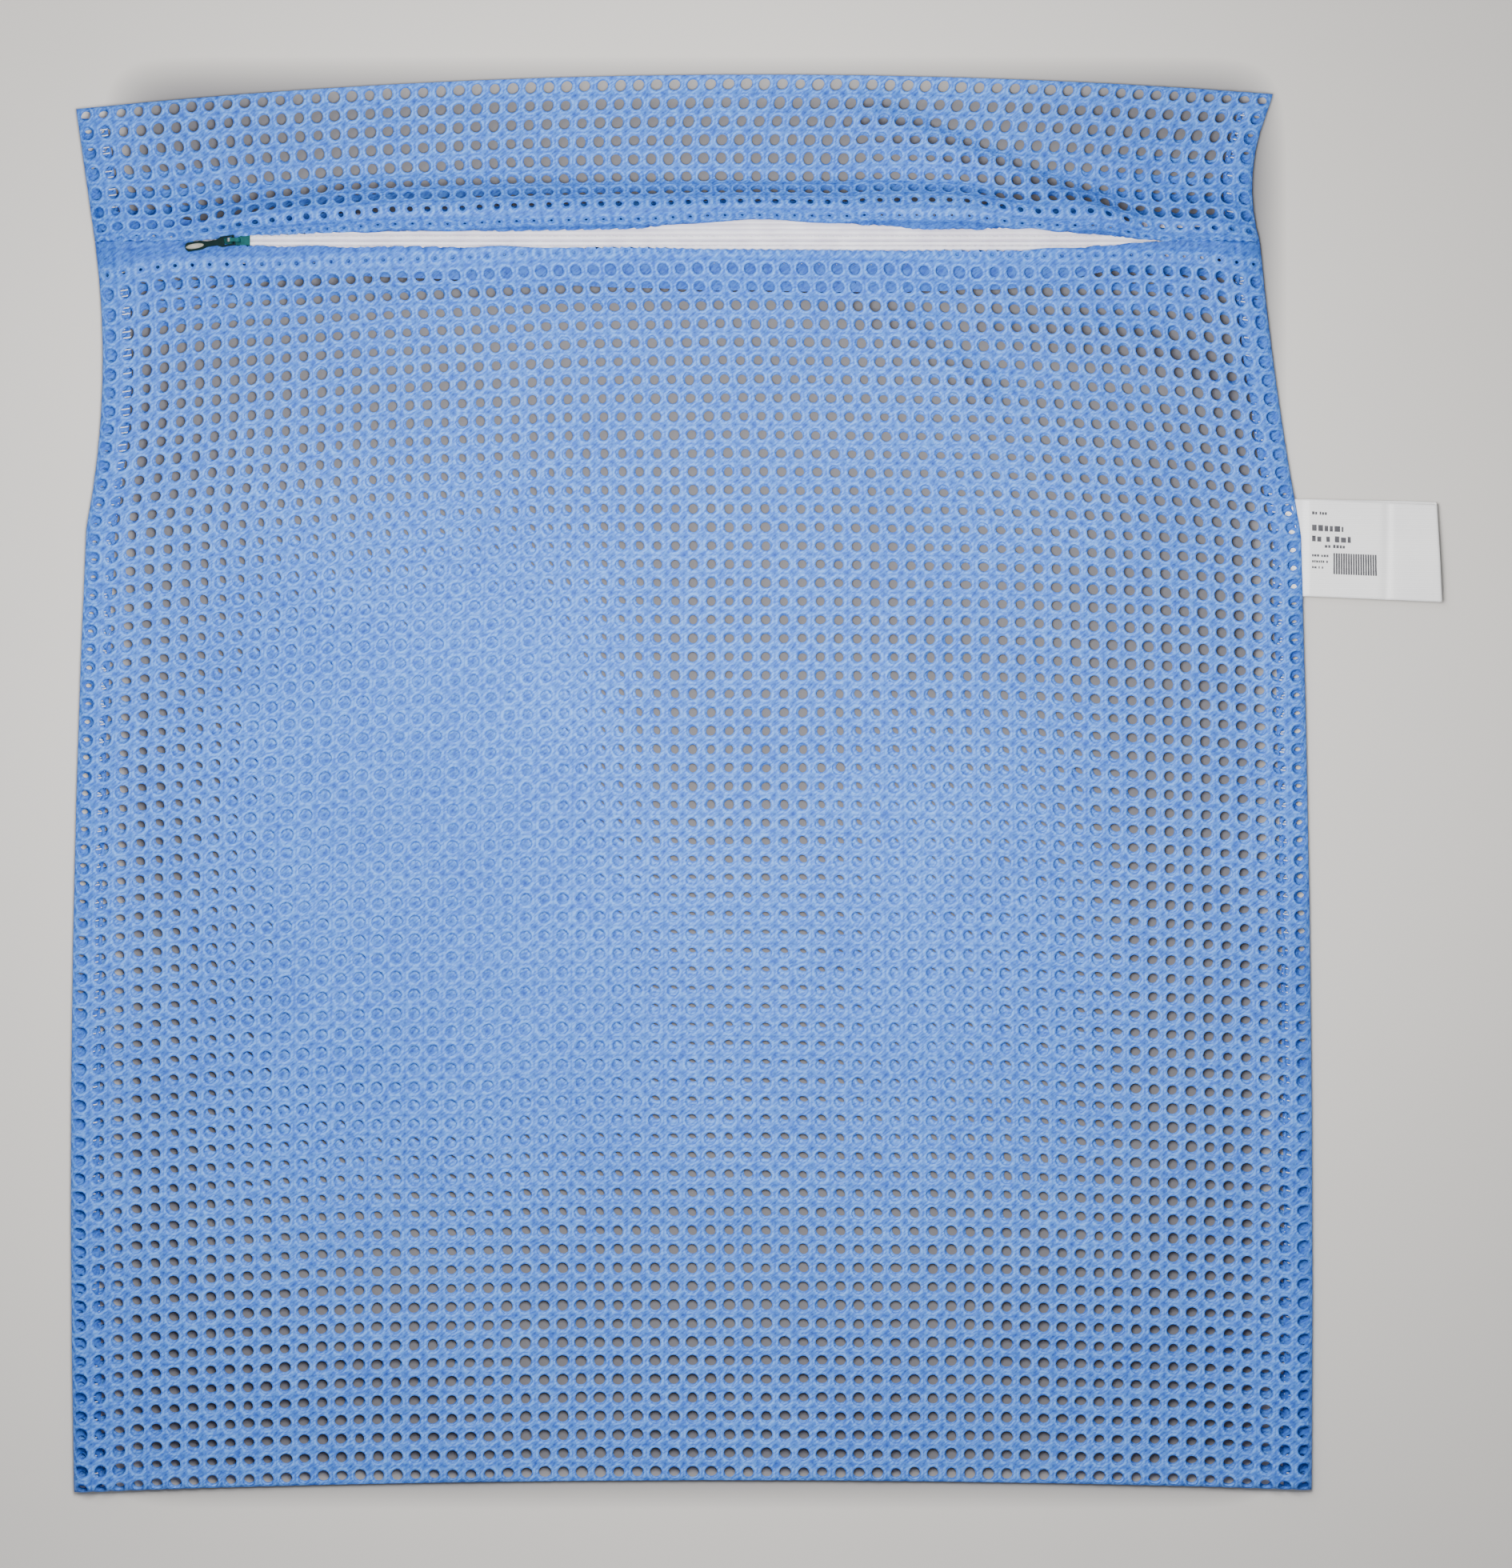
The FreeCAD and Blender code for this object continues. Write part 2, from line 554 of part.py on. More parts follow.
def pull_tab():
    """Flat pull with an eye round the bridge, a narrow neck and a round tip."""
    body = new_body("pull_tab")
    pad(body, "plan", [
        ("tip_round - pull_length", "- tip_half"),
        ("- tip_start", "- tip_half"),
        ("- neck_end", "- neck_half"),
        ("- neck_start", "- neck_half"),
        ("- eye_end", "- eye_half"),
        ("hole_start", "- eye_half"),
        ("hole_start", "eye_half"),
        ("- eye_end", "eye_half"),
        ("- neck_start", "neck_half"),
        ("- neck_end", "neck_half"),
        ("- tip_start", "tip_half"),
        ("tip_round - pull_length", "tip_half", "tip_round", 1),
    ], "0", "pull_thick")
    hole = new_sketch(body, "hole")
    draw(hole, rectangle("- hole_end", "- hole_start", "- hole_half", "hole_half"))
    before = body.Shape.Volume
    pocket = body.newObject("PartDesign::Pocket", "pull_hole_cut")
    pocket.Profile = hole
    pocket.Reversed = True
    pocket.setExpression("Length", bound("pull_thick"))
    doc.recompute()
    if body.Shape.Volume >= before:
        raise ValueError("pull_tab: the hole cuts nothing")
    round_edges(body, "pivot", is_pivot_edge, "pivot_round")
    turn = FreeCAD.Rotation(Vector(0, 0, 1), number("pull_yaw"))
    body.Placement = FreeCAD.Placement(Vector(0, 0, 0), turn)
    body.setExpression("Placement.Base.x", bound("pivot_x"))
    body.setExpression("Placement.Base.y", bound("zip_y"))
    body.setExpression("Placement.Base.z", bound("pull_low"))
    doc.recompute()


def is_pivot_edge(edge):
    """The pull's long edges beside the pivot, which is a round bar."""
    box = edge.BoundBox
    along_y = box.YLength > 1.0 and box.XLength < 1e-4 and box.ZLength < 1e-4
    return along_y and abs(abs(box.XMin) - number("hole_start")) < 1e-3


def care_label():
    """Folded ribbon: the loop outside the seam and the ends sewn into it."""
    low, high = "label_y - label_half", "label_y + label_half"
    label = new_body("care_label")
    pad(label, "loop", rectangle("label_start", "label_end", low, high),
        "label_low", "label_low + label_thick")
    start = number("label_start")

    def is_turning_edge(edge):
        box = edge.BoundBox
        return box.YLength > 1.0 and abs(box.XMin - start) < 1e-3 and box.XLength < 1e-3

    round_edges(label, "turning_edge", is_turning_edge, "label_round")
    pad(new_body("label_tail"), "ends", rectangle("tail_start", "tail_end", low, high),
        "tail_low", "tail_high")


def check_and_write():
    """Stop on any failed object or bad shape, then write one file for each node."""
    doc.recompute()
    for item in doc.Objects:
        if "Invalid" in item.State or "Error" in item.State:
            raise ValueError(f"{item.Label} did not compute: {item.State}")
    os.makedirs("parts", exist_ok=True)
    for body in nodes:
        shape = body.Shape
        if shape.isNull() or not shape.isValid():
            raise ValueError(f"{body.Label} has no valid shape")
        shape.exportStep(os.path.join("parts", f"{body.Label}.step"))
        box = shape.BoundBox
        print(f"{body.Label}: {len(shape.Solids)} solid, {shape.Volume:.1f} mm3, "
              f"z {box.ZMin:.2f} to {box.ZMax:.2f}")


fill_sheet()
back_net()
front_net()
top_net()
folds()
side_seams()
zip_half("upper", "+")
zip_half("lower", "-")
stops_and_tacks()
slider_body()
pull_tab()
care_label()
check_and_write()
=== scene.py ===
"""Mesh laundry bag on a pale floor: round-holed net, coil zip, slider, pull and care label.

Lengths are in millimetres until a mesh is made; the row frame is in metres.
"""
import math

import bpy
import numpy as np
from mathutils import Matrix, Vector

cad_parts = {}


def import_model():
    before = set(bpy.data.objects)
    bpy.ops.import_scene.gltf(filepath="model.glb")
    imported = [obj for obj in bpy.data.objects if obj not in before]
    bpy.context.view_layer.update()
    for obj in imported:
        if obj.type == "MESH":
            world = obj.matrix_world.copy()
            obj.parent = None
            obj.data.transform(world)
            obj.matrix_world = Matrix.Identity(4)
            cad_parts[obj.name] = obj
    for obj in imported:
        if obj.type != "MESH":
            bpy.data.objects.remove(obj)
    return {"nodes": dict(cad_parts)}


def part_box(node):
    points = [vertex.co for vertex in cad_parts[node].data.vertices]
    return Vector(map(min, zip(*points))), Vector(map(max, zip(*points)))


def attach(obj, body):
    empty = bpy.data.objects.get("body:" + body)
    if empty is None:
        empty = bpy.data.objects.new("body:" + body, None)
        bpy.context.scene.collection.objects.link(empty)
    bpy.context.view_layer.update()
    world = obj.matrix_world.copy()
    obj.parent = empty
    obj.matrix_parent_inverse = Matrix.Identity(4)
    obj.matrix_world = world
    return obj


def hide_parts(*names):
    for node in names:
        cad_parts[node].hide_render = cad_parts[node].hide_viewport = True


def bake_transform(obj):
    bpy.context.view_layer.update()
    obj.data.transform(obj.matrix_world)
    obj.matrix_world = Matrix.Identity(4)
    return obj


MM = 0.001

# Net
COLUMNS = 67            # holes across the bag
ROWS = 76               # holes from the bottom fold to the top fold
FRONT_ROWS = 69         # holes from the bottom fold to the lower hem's cut edge
TOP_ROWS = 10           # holes from the top fold to the upper hem's cut edge
HOLE = 0.27             # radius of a hole in the middle of the bag, in cells
CREST = 0.39            # radius of the thick thread round a hole, in cells
CORNERS = 16            # corners of a hole and of its thread
CREST_RISE = 0.26       # height of that thread over the ply's middle
WEB_HALF = 0.1          # half thickness of the web between two holes
DIMPLE_HALF = 0.03      # half thickness between four holes
STEPS = 4               # carrier samples for each cell

# Heights of a ply's middle over the floor
BACK_Z = 0.32           # back ply
FRONT_Z = 1.2           # front ply, before its waves and creases
LOWEST_FRONT = 0.95     # the front ply never lies lower than this, away from its edges
FOLD_Z = 1.35           # where the plies meet, at the sides and folds

# Hems, folds and seams
LOWER_TURN = 0.38       # radius of the lower hem's rolled edge
UPPER_TURN = 0.42       # radius of the upper hem's rolled edge
TURNED_UNDER = 26.0     # length of the cloth under a hem
FOLD_LENGTH = 1.1       # cloth taken up by the two folds
BOTTOM_GUESS = -229.0   # y near the bottom fold
TOP_GUESS = 222.0       # y near the top fold
SEAM_COLUMNS = 2        # holes across a turned-in ply
SEAM_REACH = 9.0        # how far in from the side it ends
ALL_ROWS = (-2, -1)     # a step that has risen before the first row, so that it holds for all

# Slit between the hems: (x, distance of the hem's edge from the zip line)
UPPER_EDGE = [(-200, -0.3), (-157, -0.3), (-151, 1.3), (-143, 1.8), (-120, 2.4),
              (-60, 2.9), (-17, 3.7), (8, 6.0), (22, 6.6), (48, 5.4), (82, 3.2), (108, 4.0),
              (135, 2.0), (150, -0.3), (200, -0.3)]
LOWER_EDGE = [(-200, -0.3), (-160, -0.3), (-151, 1.7), (-143, 1.9), (-60, 1.8),
              (0, 2.3), (50, 2.7), (100, 3.2), (121, 2.6), (135, 1.9), (150, -0.3), (200, -0.3)]

GATHERS = (-172.0, 156.0)       # x of the middles of the gathers past the slit's two ends

# Soft creases: middle line, half width, rise (negative for a valley)
CREASES = [
    ([(-4, 199), (70, 199)], 5.0, -1.6),
    ([(81, 218), (128, 194), (151, 180)], 6.0, -2.2),
    ([(70, 198), (123, 186)], 4.5, -1.8),
    ([(20, 155), (51, 145), (81, 139), (128, 131), (164, 126)], 6.0, -1.2),
    ([(75, 156), (115, 150)], 4.5, -0.9),
    ([(148, 173), (181, 173)], 4.5, -1.5),
    ([(38, 162), (62, 150), (92, 128)], 7.0, 3.0),
    ([(58, 214), (100, 198), (138, 183)], 6.0, 3.0),
    ([(95, 150), (140, 143), (170, 128)], 6.0, 2.2),
    ([(-186, 178), (-158, 190), (-124, 191)], 5.5, -1.9),
    ([(-169, 172), (-130, 168)], 4.0, -1.0),
]

PULL_YAW = math.radians(9)              # the pull lies at this angle to the zip
PULL_TIP = (-0.1602, 0.1726, 0.0)       # middle of the pull's worn tip, in metres

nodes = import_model()["nodes"]
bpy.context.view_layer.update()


def smooth(value, low, high):
    """0 below low, 1 above high, and a smooth step between."""
    t = np.clip((value - low) / (high - low), 0.0, 1.0)
    return t * t * (3.0 - 2.0 * t)


def soft_noise(x, y, seed, size):
    """A few random waves about as long as size, mostly between -1 and 1."""
    rng = np.random.default_rng(seed)
    total = np.zeros(np.broadcast(x, y).shape)
    for _ in range(9):
        angle = rng.uniform(0, math.tau)
        length = size * rng.uniform(0.7, 1.7)
        phase = rng.uniform(0, math.tau)
        along = x * math.cos(angle) + y * math.sin(angle)
        total += np.sin(along * math.tau / length + phase)
    return total / 4.0


# ---------------------------------------------------------------- outline from the frame

def edge_of(node, start, direction):
    """Where a ray first meets a CAD node, in millimetres."""
    hit, place, _, _ = nodes[node].ray_cast(Vector(start) * MM, Vector(direction))
    if not hit:
        raise ValueError(f"no edge of {node} from {start}")
    return place / MM


def read_outline():
    """The bag's four edges, as tables of x over y and y over x."""
    low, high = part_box("back_net")
    ys = np.linspace(low.y / MM + 1.5, high.y / MM - 12, 260)
    left = [edge_of("back_net", (-300, y, 0.3), (1, 0, 0)).x for y in ys]
    right = [edge_of("back_net", (300, y, 0.3), (-1, 0, 0)).x for y in ys]
    ends = []
    for node, side in (("bottom_fold", -1), ("top_fold", 1)):
        low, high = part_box(node)
        xs = np.linspace(low.x / MM + 0.5, high.x / MM - 0.5, 120)
        ends += [xs, np.array([edge_of(node, (x, side * 300, 1.4), (0, -side, 0)).y for x in xs])]
    return ys, np.array(left), np.array(right), *ends


SIDE_Y, LEFT_X, RIGHT_X, BOTTOM_X, BOTTOM_Y, TOP_X, TOP_Y = read_outline()
ZIP_Y = (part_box("zip_upper_tape")[0].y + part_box("zip_lower_tape")[1].y) / 2 / MM


def extend(value, xs, ys):
    """Linear table that goes on in its last direction past both ends."""
    inside = np.interp(value, xs, ys)
    before = (ys[3] - ys[0]) / (xs[3] - xs[0]) * np.minimum(value - xs[0], 0)
    after = (ys[-1] - ys[-4]) / (xs[-1] - xs[-4]) * np.maximum(value - xs[-1], 0)
    return inside + before + after


def left_x(y):
    """x of the left side."""
    return extend(y, SIDE_Y, LEFT_X)


def right_x(y):
    """x of the right side."""
    return extend(y, SIDE_Y, RIGHT_X)


def bottom_y(x):
    """y of the bottom fold."""
    return extend(x, BOTTOM_X, BOTTOM_Y)


def top_y(x):
    """y of the top fold."""
    return extend(x, TOP_X, TOP_Y)


def hem_distance(points, x):
    """Smoothed distance of a hem's edge from the zip line."""
    xs = [point[0] for point in points]
    ys = [point[1] for point in points]
    return sum(np.interp(x + shift, xs, ys) for shift in (-4, -2, 0, 2, 4)) / 5


def column_x(share, y):
    """x of a share of the bag's width at some y."""
    return left_x(y) + (right_x(y) - left_x(y)) * share


def side_distance(x, y):
    """Distance to the nearer side."""
    return np.minimum(x - left_x(y), right_x(y) - x)


def fold_y(share, edge, guess):
    """y where a share of the width meets one of the folds, found from a guess."""
    y = guess + 0 * share
    for _ in range(4):
        y = edge(column_x(share, y))
    return y


# ---------------------------------------------------------------- heights

def crease_height(x, y):
    """Sum of the soft creases."""
    total = np.zeros(np.broadcast(x, y).shape)
    for line, half, rise in CREASES:
        nearest = np.full(total.shape, 1e9)
        for (ax, ay), (bx, by) in zip(line, line[1:]):
            dx, dy = bx - ax, by - ay
            t = np.clip(((x - ax) * dx + (y - ay) * dy) / (dx * dx + dy * dy), 0, 1)
            away = (x - ax - t * dx) ** 2 + (y - ay - t * dy) ** 2
            nearest = np.minimum(nearest, away)
        total += rise * np.exp(-nearest / half**2)
    return total


def edge_drop(x, y):
    """1 inside the bag, falling to 0 at its sides and folds."""
    side = np.clip(side_distance(x, y) / 4.0, 0, 1)
    fold = np.clip(np.minimum(y - bottom_y(x), top_y(x) - y) / 1.6, 0, 1)
    return np.sqrt(1 - (1 - side) ** 2) * np.sqrt(1 - (1 - fold) ** 2)


def label_gap(x, y):
    """How far the seam's plies part round the care label."""
    beside = smooth(y, 57, 60.5) * (1 - smooth(y, 91, 94.5))
    return 0.5 * beside * smooth(x, 150, 194)


def back_height(x, y):
    """Middle of the back ply: flat on the floor and rising into the edges."""
    wave = 0.04 * (1 + soft_noise(x, y, 5, 60))
    inside = edge_drop(x, y)
    edge = FOLD_Z - label_gap(x, y)
    return BACK_Z + wave * inside + (edge - BACK_Z) * (1 - inside)


def front_height(x, y):
    """Middle of the front ply away from the zip; it lies higher towards the seams and folds."""
    wave = 0.35 * soft_noise(x, y, 11, 75) + 0.15 * soft_noise(x, y, 12, 28)
    side = side_distance(x, y)
    over_seam = 1.0 - smooth(side, 8.5, 24.0)
    lofted = 1.1 * (1.0 - smooth(side, 10, 110)) + 0.9 * (1.0 - smooth(y - bottom_y(x), 5, 90))
    height = np.maximum(FRONT_Z + wave, LOWEST_FRONT) + 0.8 * over_seam + lofted
    inside = edge_drop(x, y)
    edge = FOLD_Z + label_gap(x, y)
    return edge + (height - edge) * inside


def lower_height(x, y):
    """Front ply below the zip, rising to its hem."""
    away = ZIP_Y - y
    past = smooth(away, 4.4, 8.0)
    rise = 5.5 + 0.7 * past + 0.25 * soft_noise(x, 0 * y, 21, 30) * past
    share = 1 - smooth(away, 7.0, 23.0)
    height = front_height(x, y)
    side = smooth(side_distance(x, y), 0.0, 12.0)
    height = height + crease_height(x, y) * 0.8 * (1 - share)
    height = np.maximum(height, LOWEST_FRONT)
    return height + (rise - height) * share * side


def upper_height(x, y):
    """Front ply above the zip: a puffed roll beside the slit."""
    away = y - ZIP_Y
    edge = hem_distance(UPPER_EDGE, x)
    past = away - edge
    length = smooth(x, -175, -140) * (1 - smooth(x, 120, 160))
    clear = 2.4 * np.exp(-(((x + 155) / 12) ** 2))
    puff = 2.0 + 2.8 * length + 0.6 * soft_noise(x, 0 * y, 31, 40)
    puff = puff * smooth(past, 0.3 + clear, 4.8 + clear)
    share = 1 - smooth(away, 8.0, 23.0)
    height = front_height(x, y)
    side = smooth(side_distance(x, y), 0.0, 12.0)
    rolled = 5.7 + puff
    height = height + (rolled - height) * share * side
    creases = crease_height(x, y) * (1 - 0.4 * share) * smooth(past, 2, 8)
    return np.maximum(height + creases, LOWEST_FRONT)


# ---------------------------------------------------------------- carriers

def carrier(grid):
    """Points of a ply on a regular grid of samples, with their normals."""
    along_u = np.gradient(grid, axis=0)
    along_v = np.gradient(grid, axis=1)
    normal = np.cross(along_u, along_v)
    normal /= np.linalg.norm(normal, axis=2, keepdims=True)
    return grid, normal


def sample(ply, u, v):
    """Bilinear point and normal of a carrier at cell coordinates."""
    i = np.clip(u * STEPS, 0, ply[0].shape[0] - 1.001)
    j = np.clip(v * STEPS, 0, ply[0].shape[1] - 1.001)
    i0, j0 = i.astype(int), j.astype(int)
    fi, fj = (i - i0)[:, None], (j - j0)[:, None]
    out = []
    for layer in ply:
        near = layer[i0, j0] * (1 - fi) + layer[i0 + 1, j0] * fi
        far = layer[i0, j0 + 1] * (1 - fi) + layer[i0 + 1, j0 + 1] * fi
        out.append(near * (1 - fj) + far * fj)
    return out[0], out[1] / np.linalg.norm(out[1], axis=1, keepdims=True)


def shares():
    """Share of the bag's width at each carrier column."""
    return np.linspace(0, 1, COLUMNS * STEPS + 1)


def back_carrier():
    """The back ply, pulled out of line with the front so that the holes drift past each other."""
    share = shares()[:, None] * np.ones((1, ROWS * STEPS + 1))
    row = np.linspace(0, 1, ROWS * STEPS + 1)[None, :] * np.ones_like(share)
    bottom = fold_y(share, bottom_y, BOTTOM_GUESS)
    top = fold_y(share, top_y, TOP_GUESS)
    y = bottom + (top - bottom) * row
    x = column_x(share, y)
    inside = smooth(row, 0, 0.05) * (1 - smooth(row, 0.95, 1.0))
    inside = inside * smooth(share, 0, 0.03) * (1 - smooth(share, 0.97, 1.0))
    left = np.exp(-(((x + 92) / 72) ** 4) - ((y + 20) / 120) ** 4)
    right = np.exp(-(((x - 92) / 48) ** 4) - ((y + 55) / 85) ** 4)
    middle = np.exp(-((x / 45) ** 4) - ((y + 75) / 60) ** 4)
    shift = 3.0 * left + 1.9 * right + 0.35 * soft_noise(x, y, 41, 150)
    lift = 2.8 * left + 2.0 * right + 1.9 * middle + 0.35 * soft_noise(x, y, 42, 140)
    x, y = x + shift * inside, y + lift * inside
    return carrier(np.stack([x, y, back_height(x, y)], 2))


def rolled_path(share, start, edge, height, turn):
    """One column's (y, z): along the ply to its hem, round the edge and back underneath."""
    sign = 1.0 if edge > start else -1.0
    ys = np.linspace(start, edge - sign * turn, 900)
    zs = height(column_x(share, ys), ys)
    angle = np.linspace(0, math.pi, 12)[1:]
    roll_y = edge - sign * turn + sign * turn * np.sin(angle)
    roll_z = zs[-1] - turn + turn * np.cos(angle)
    under_y = np.linspace(roll_y[-1], roll_y[-1] - sign * TURNED_UNDER, 90)[1:]
    away = np.abs(under_y - ZIP_Y)
    above = height(column_x(share, under_y), under_y) - 2 * turn
    under_z = np.minimum(roll_z[-1], 4.3 + (roll_z[-1] - 4.3) * (1 - smooth(away, 4.3, 6.4)))
    under_z = np.minimum(under_z, above)
    return np.concatenate([ys, roll_y, under_y]), np.concatenate([zs, roll_z, under_z])


def pinch(x, y, z):
    """Rows gather towards the slit's two ends, where the tacks hold the cloth down."""
    for end in GATHERS:
        near = np.exp(-(((x - end) / 36.0) ** 2) - ((y - ZIP_Y) / 20.0) ** 2)
        y = y - 0.42 * (y - ZIP_Y) * near
        z = z - 0.9 * near * (z > 5.0)
    return y, z


def hemmed_carrier(rows, from_top):
    """A front ply: rows counted along the cloth from its fold and rolled under at the slit."""
    grid = np.zeros((COLUMNS * STEPS + 1, rows * STEPS + 1, 3))
    for k, share in enumerate(shares()):
        at_zip = float(column_x(share, ZIP_Y))
        start_y = float(fold_y(share, bottom_y, BOTTOM_GUESS))
        end_y = float(fold_y(share, top_y, TOP_GUESS))
        pitch = (end_y - start_y + FOLD_LENGTH) / ROWS
        if from_top:
            edge = ZIP_Y + float(hem_distance(UPPER_EDGE, at_zip))
            ys, zs = rolled_path(share, end_y, edge, upper_height, UPPER_TURN)
        else:
            edge = ZIP_Y - float(hem_distance(LOWER_EDGE, at_zip))
            ys, zs = rolled_path(share, start_y, edge, lower_height, LOWER_TURN)
        length = np.concatenate([[0], np.cumsum(np.hypot(np.diff(ys), np.diff(zs)))])
        at = np.arange(rows * STEPS + 1) / STEPS * pitch
        y = np.interp(at, length, ys)
        z = np.interp(at, length, zs)
        y, z = pinch(column_x(share, y), y, z)
        grid[k] = np.stack([column_x(share, y), y, z], 1)
    if from_top:
        grid = grid[:, ::-1]
    return carrier(grid)


# ---------------------------------------------------------------- meshes

def make_mesh(name, points, faces, shade_smooth=True):
    """Mesh object from points in millimetres."""
    mesh = bpy.data.meshes.new(name)
    mesh.from_pydata((np.asarray(points) * MM).tolist(), [], faces)
    mesh.validate()
    if shade_smooth:
        mesh.polygons.foreach_set("use_smooth", np.ones(len(mesh.polygons), bool))
    piece = bpy.data.objects.new(name, mesh)
    bpy.context.scene.collection.objects.link(piece)
    return piece


def cell_rings():
    """Unit circle and square boundary of one cell, counter-clockwise from +u."""
    angle = np.arange(CORNERS) * math.tau / CORNERS
    circle = np.stack([np.cos(angle), np.sin(angle)], 1)
    side = [(0.5, 0.0), (0.5, 0.3), (0.5, 0.5), (0.3, 0.5)]
    border = []
    for _ in range(4):
        border += side
        side = [(-v, u) for u, v in side]
    return circle, np.array(border)


def over_rows(row, steps):
    """Sum of smooth steps along the rows; a step is (rise, (first row, last row))."""
    return sum((rise * smooth(row, *rows) for rise, rows in steps), 0.0 * row)


def cell_layers(centre, outward, tight, rng):
    """Cell coordinates of each cell's hole, thread, border and the border of its underside."""
    circle, border = cell_rings()
    count = len(centre)
    size = 1 + 0.17 * smooth(outward, 0.25, 0.8)[:, None, None]
    size = size + 0.05 * rng.standard_normal((count, 1, 1))
    size = size * (1 - over_rows(centre[:, :, 1:], tight))
    stretch = 1 + 0.05 * rng.standard_normal((count, 1, 2))
    hole = centre + circle * HOLE * size * stretch
    crest = centre + circle * CREST * (0.75 + 0.25 * size)
    edge = centre + border + np.zeros((count, 1, 1))
    return np.concatenate([hole, crest, edge, edge], 1)


def cell_profile(middle):
    """Rise over the ply's middle and a painted shade value for the same layers of each cell:
    lightest on the thread's crest, partly its lighter thread and partly painted highlight, and
    darker down the hole's wall, on the web and most at the corners between four holes, as painted
    shade.
    """
    flat = np.zeros((len(middle), CORNERS))
    corner = np.arange(CORNERS) % 4 == 2
    web = np.where(corner, DIMPLE_HALF, WEB_HALF) + flat
    rise = np.concatenate([flat, flat + CREST_RISE, web, -web], 1)
    # Painted shade: the web's shade value falls near the zip, a deeper blue beside the hems
    shade_by_zip = np.exp(-(((middle[:, 1:2] - ZIP_Y) / 26.0) ** 2))
    # Painted shade on the border: darkest at the corners between four holes, mid on the web
    groove = np.where(corner, 0.0, 0.7) * (1 - 0.35 * shade_by_zip)
    return rise, np.concatenate([flat + 0.35, flat + 1.0, groove, groove], 1)


def weld(uv, rise):
    """Which points to keep so that equal ones are one, and every point's index among the kept."""
    # Equal to 1/8192 of a cell and 1/1024 mm of rise; each key is packed into one number
    keys = np.round(np.concatenate([uv * 8192, rise[:, :, None] * 1024], 2)).astype(np.int64)
    keys = keys.reshape(-1, 3)
    code = (keys[:, 0] << 36) + (keys[:, 1] << 12) + keys[:, 2] + 2048
    _, keep, back = np.unique(code, return_index=True, return_inverse=True)
    return keep, back.ravel()


def cell_faces(count):
    """Quads of every cell: hole to thread, thread to border, and the underside."""
    k = np.arange(CORNERS)
    nxt = (k + 1) % CORNERS
    hole, crest, edge, under = k, CORNERS + k, 2 * CORNERS + k, 3 * CORNERS + k
    quads = np.concatenate([
        np.stack([hole, crest, CORNERS + nxt, nxt], 1),
        np.stack([crest, edge, 2 * CORNERS + nxt, CORNERS + nxt], 1),
        np.stack([hole, nxt, 3 * CORNERS + nxt, under], 1),
    ])
    return quads[None] + (np.arange(count) * 4 * CORNERS)[:, None, None]


def border_walls(i, j, columns, rows):
    """Walls that close the net's thickness along the outside of a block of cells."""
    walls = []
    right, far, left, near = i == columns - 1, j == rows[1] - 1, i == 0, j == rows[0]
    for side, cells in ((0, right), (4, far), (8, left), (12, near)):
        a = np.arange(side - 2, side + 2) % CORNERS
        b = (a + 1) % CORNERS
        top, under = 2 * CORNERS, 3 * CORNERS
        wall = np.stack([top + b, top + a, under + a, under + b], 1)
        walls.append(np.flatnonzero(cells)[:, None, None] * 4 * CORNERS + wall)
    return np.concatenate(walls)


def net_piece(name, ply, columns, rows, seed, tight=(), painted_shade=()):
    """Round-holed net over a block of cells; tight closes its holes, and the last argument
    deepens its blue as painted shade.
    """
    i, j = np.meshgrid(np.arange(columns), np.arange(*rows))
    i, j = i.ravel(), j.ravel()
    centre = np.stack([i + 0.5, j + 0.5], 1)[:, None, :]
    middle = sample(ply, centre[:, 0, 0], centre[:, 0, 1])[0]
    outward = np.maximum(np.abs(middle[:, 0]) / 200, np.abs(middle[:, 1]) / 230)
    uv = cell_layers(centre, outward, tight, np.random.default_rng(seed))
    rise, shade = cell_profile(middle)
    # Painted shade: a deeper blue on rows turned under a hem, on the back ply behind the zip and
    # on the seam plies
    shade = shade * (1 - over_rows(centre[:, :, 1], painted_shade))
    keep, back = weld(uv, rise)
    uv, rise, shade = uv.reshape(-1, 2)[keep], rise.ravel()[keep], shade.ravel()[keep]
    point, normal = sample(ply, uv[:, 0], uv[:, 1])
    point = point + normal * rise[:, None]
    quads = back[cell_faces(len(centre)).reshape(-1, 4)].tolist()
    walls = back[border_walls(i, j, columns, rows).reshape(-1, 4)].tolist()
    piece = make_mesh(name, point, quads + walls)
    flags = np.arange(len(quads) + len(walls)) < len(quads)
    piece.data.polygons.foreach_set("use_smooth", flags)
    piece.data.set_sharp_from_angle(angle=math.radians(70))
    # The painted shade value of each point, which the net material turns into colour
    across = piece.data.attributes.new("across", "FLOAT", "POINT")
    across.data.foreach_set("value", shade.astype(np.float32))
    return piece


def join(piece, other):
    """Add another object's mesh to a piece."""
    with bpy.context.temp_override(active_object=piece, selected_editable_objects=[piece, other]):
        bpy.ops.object.join()


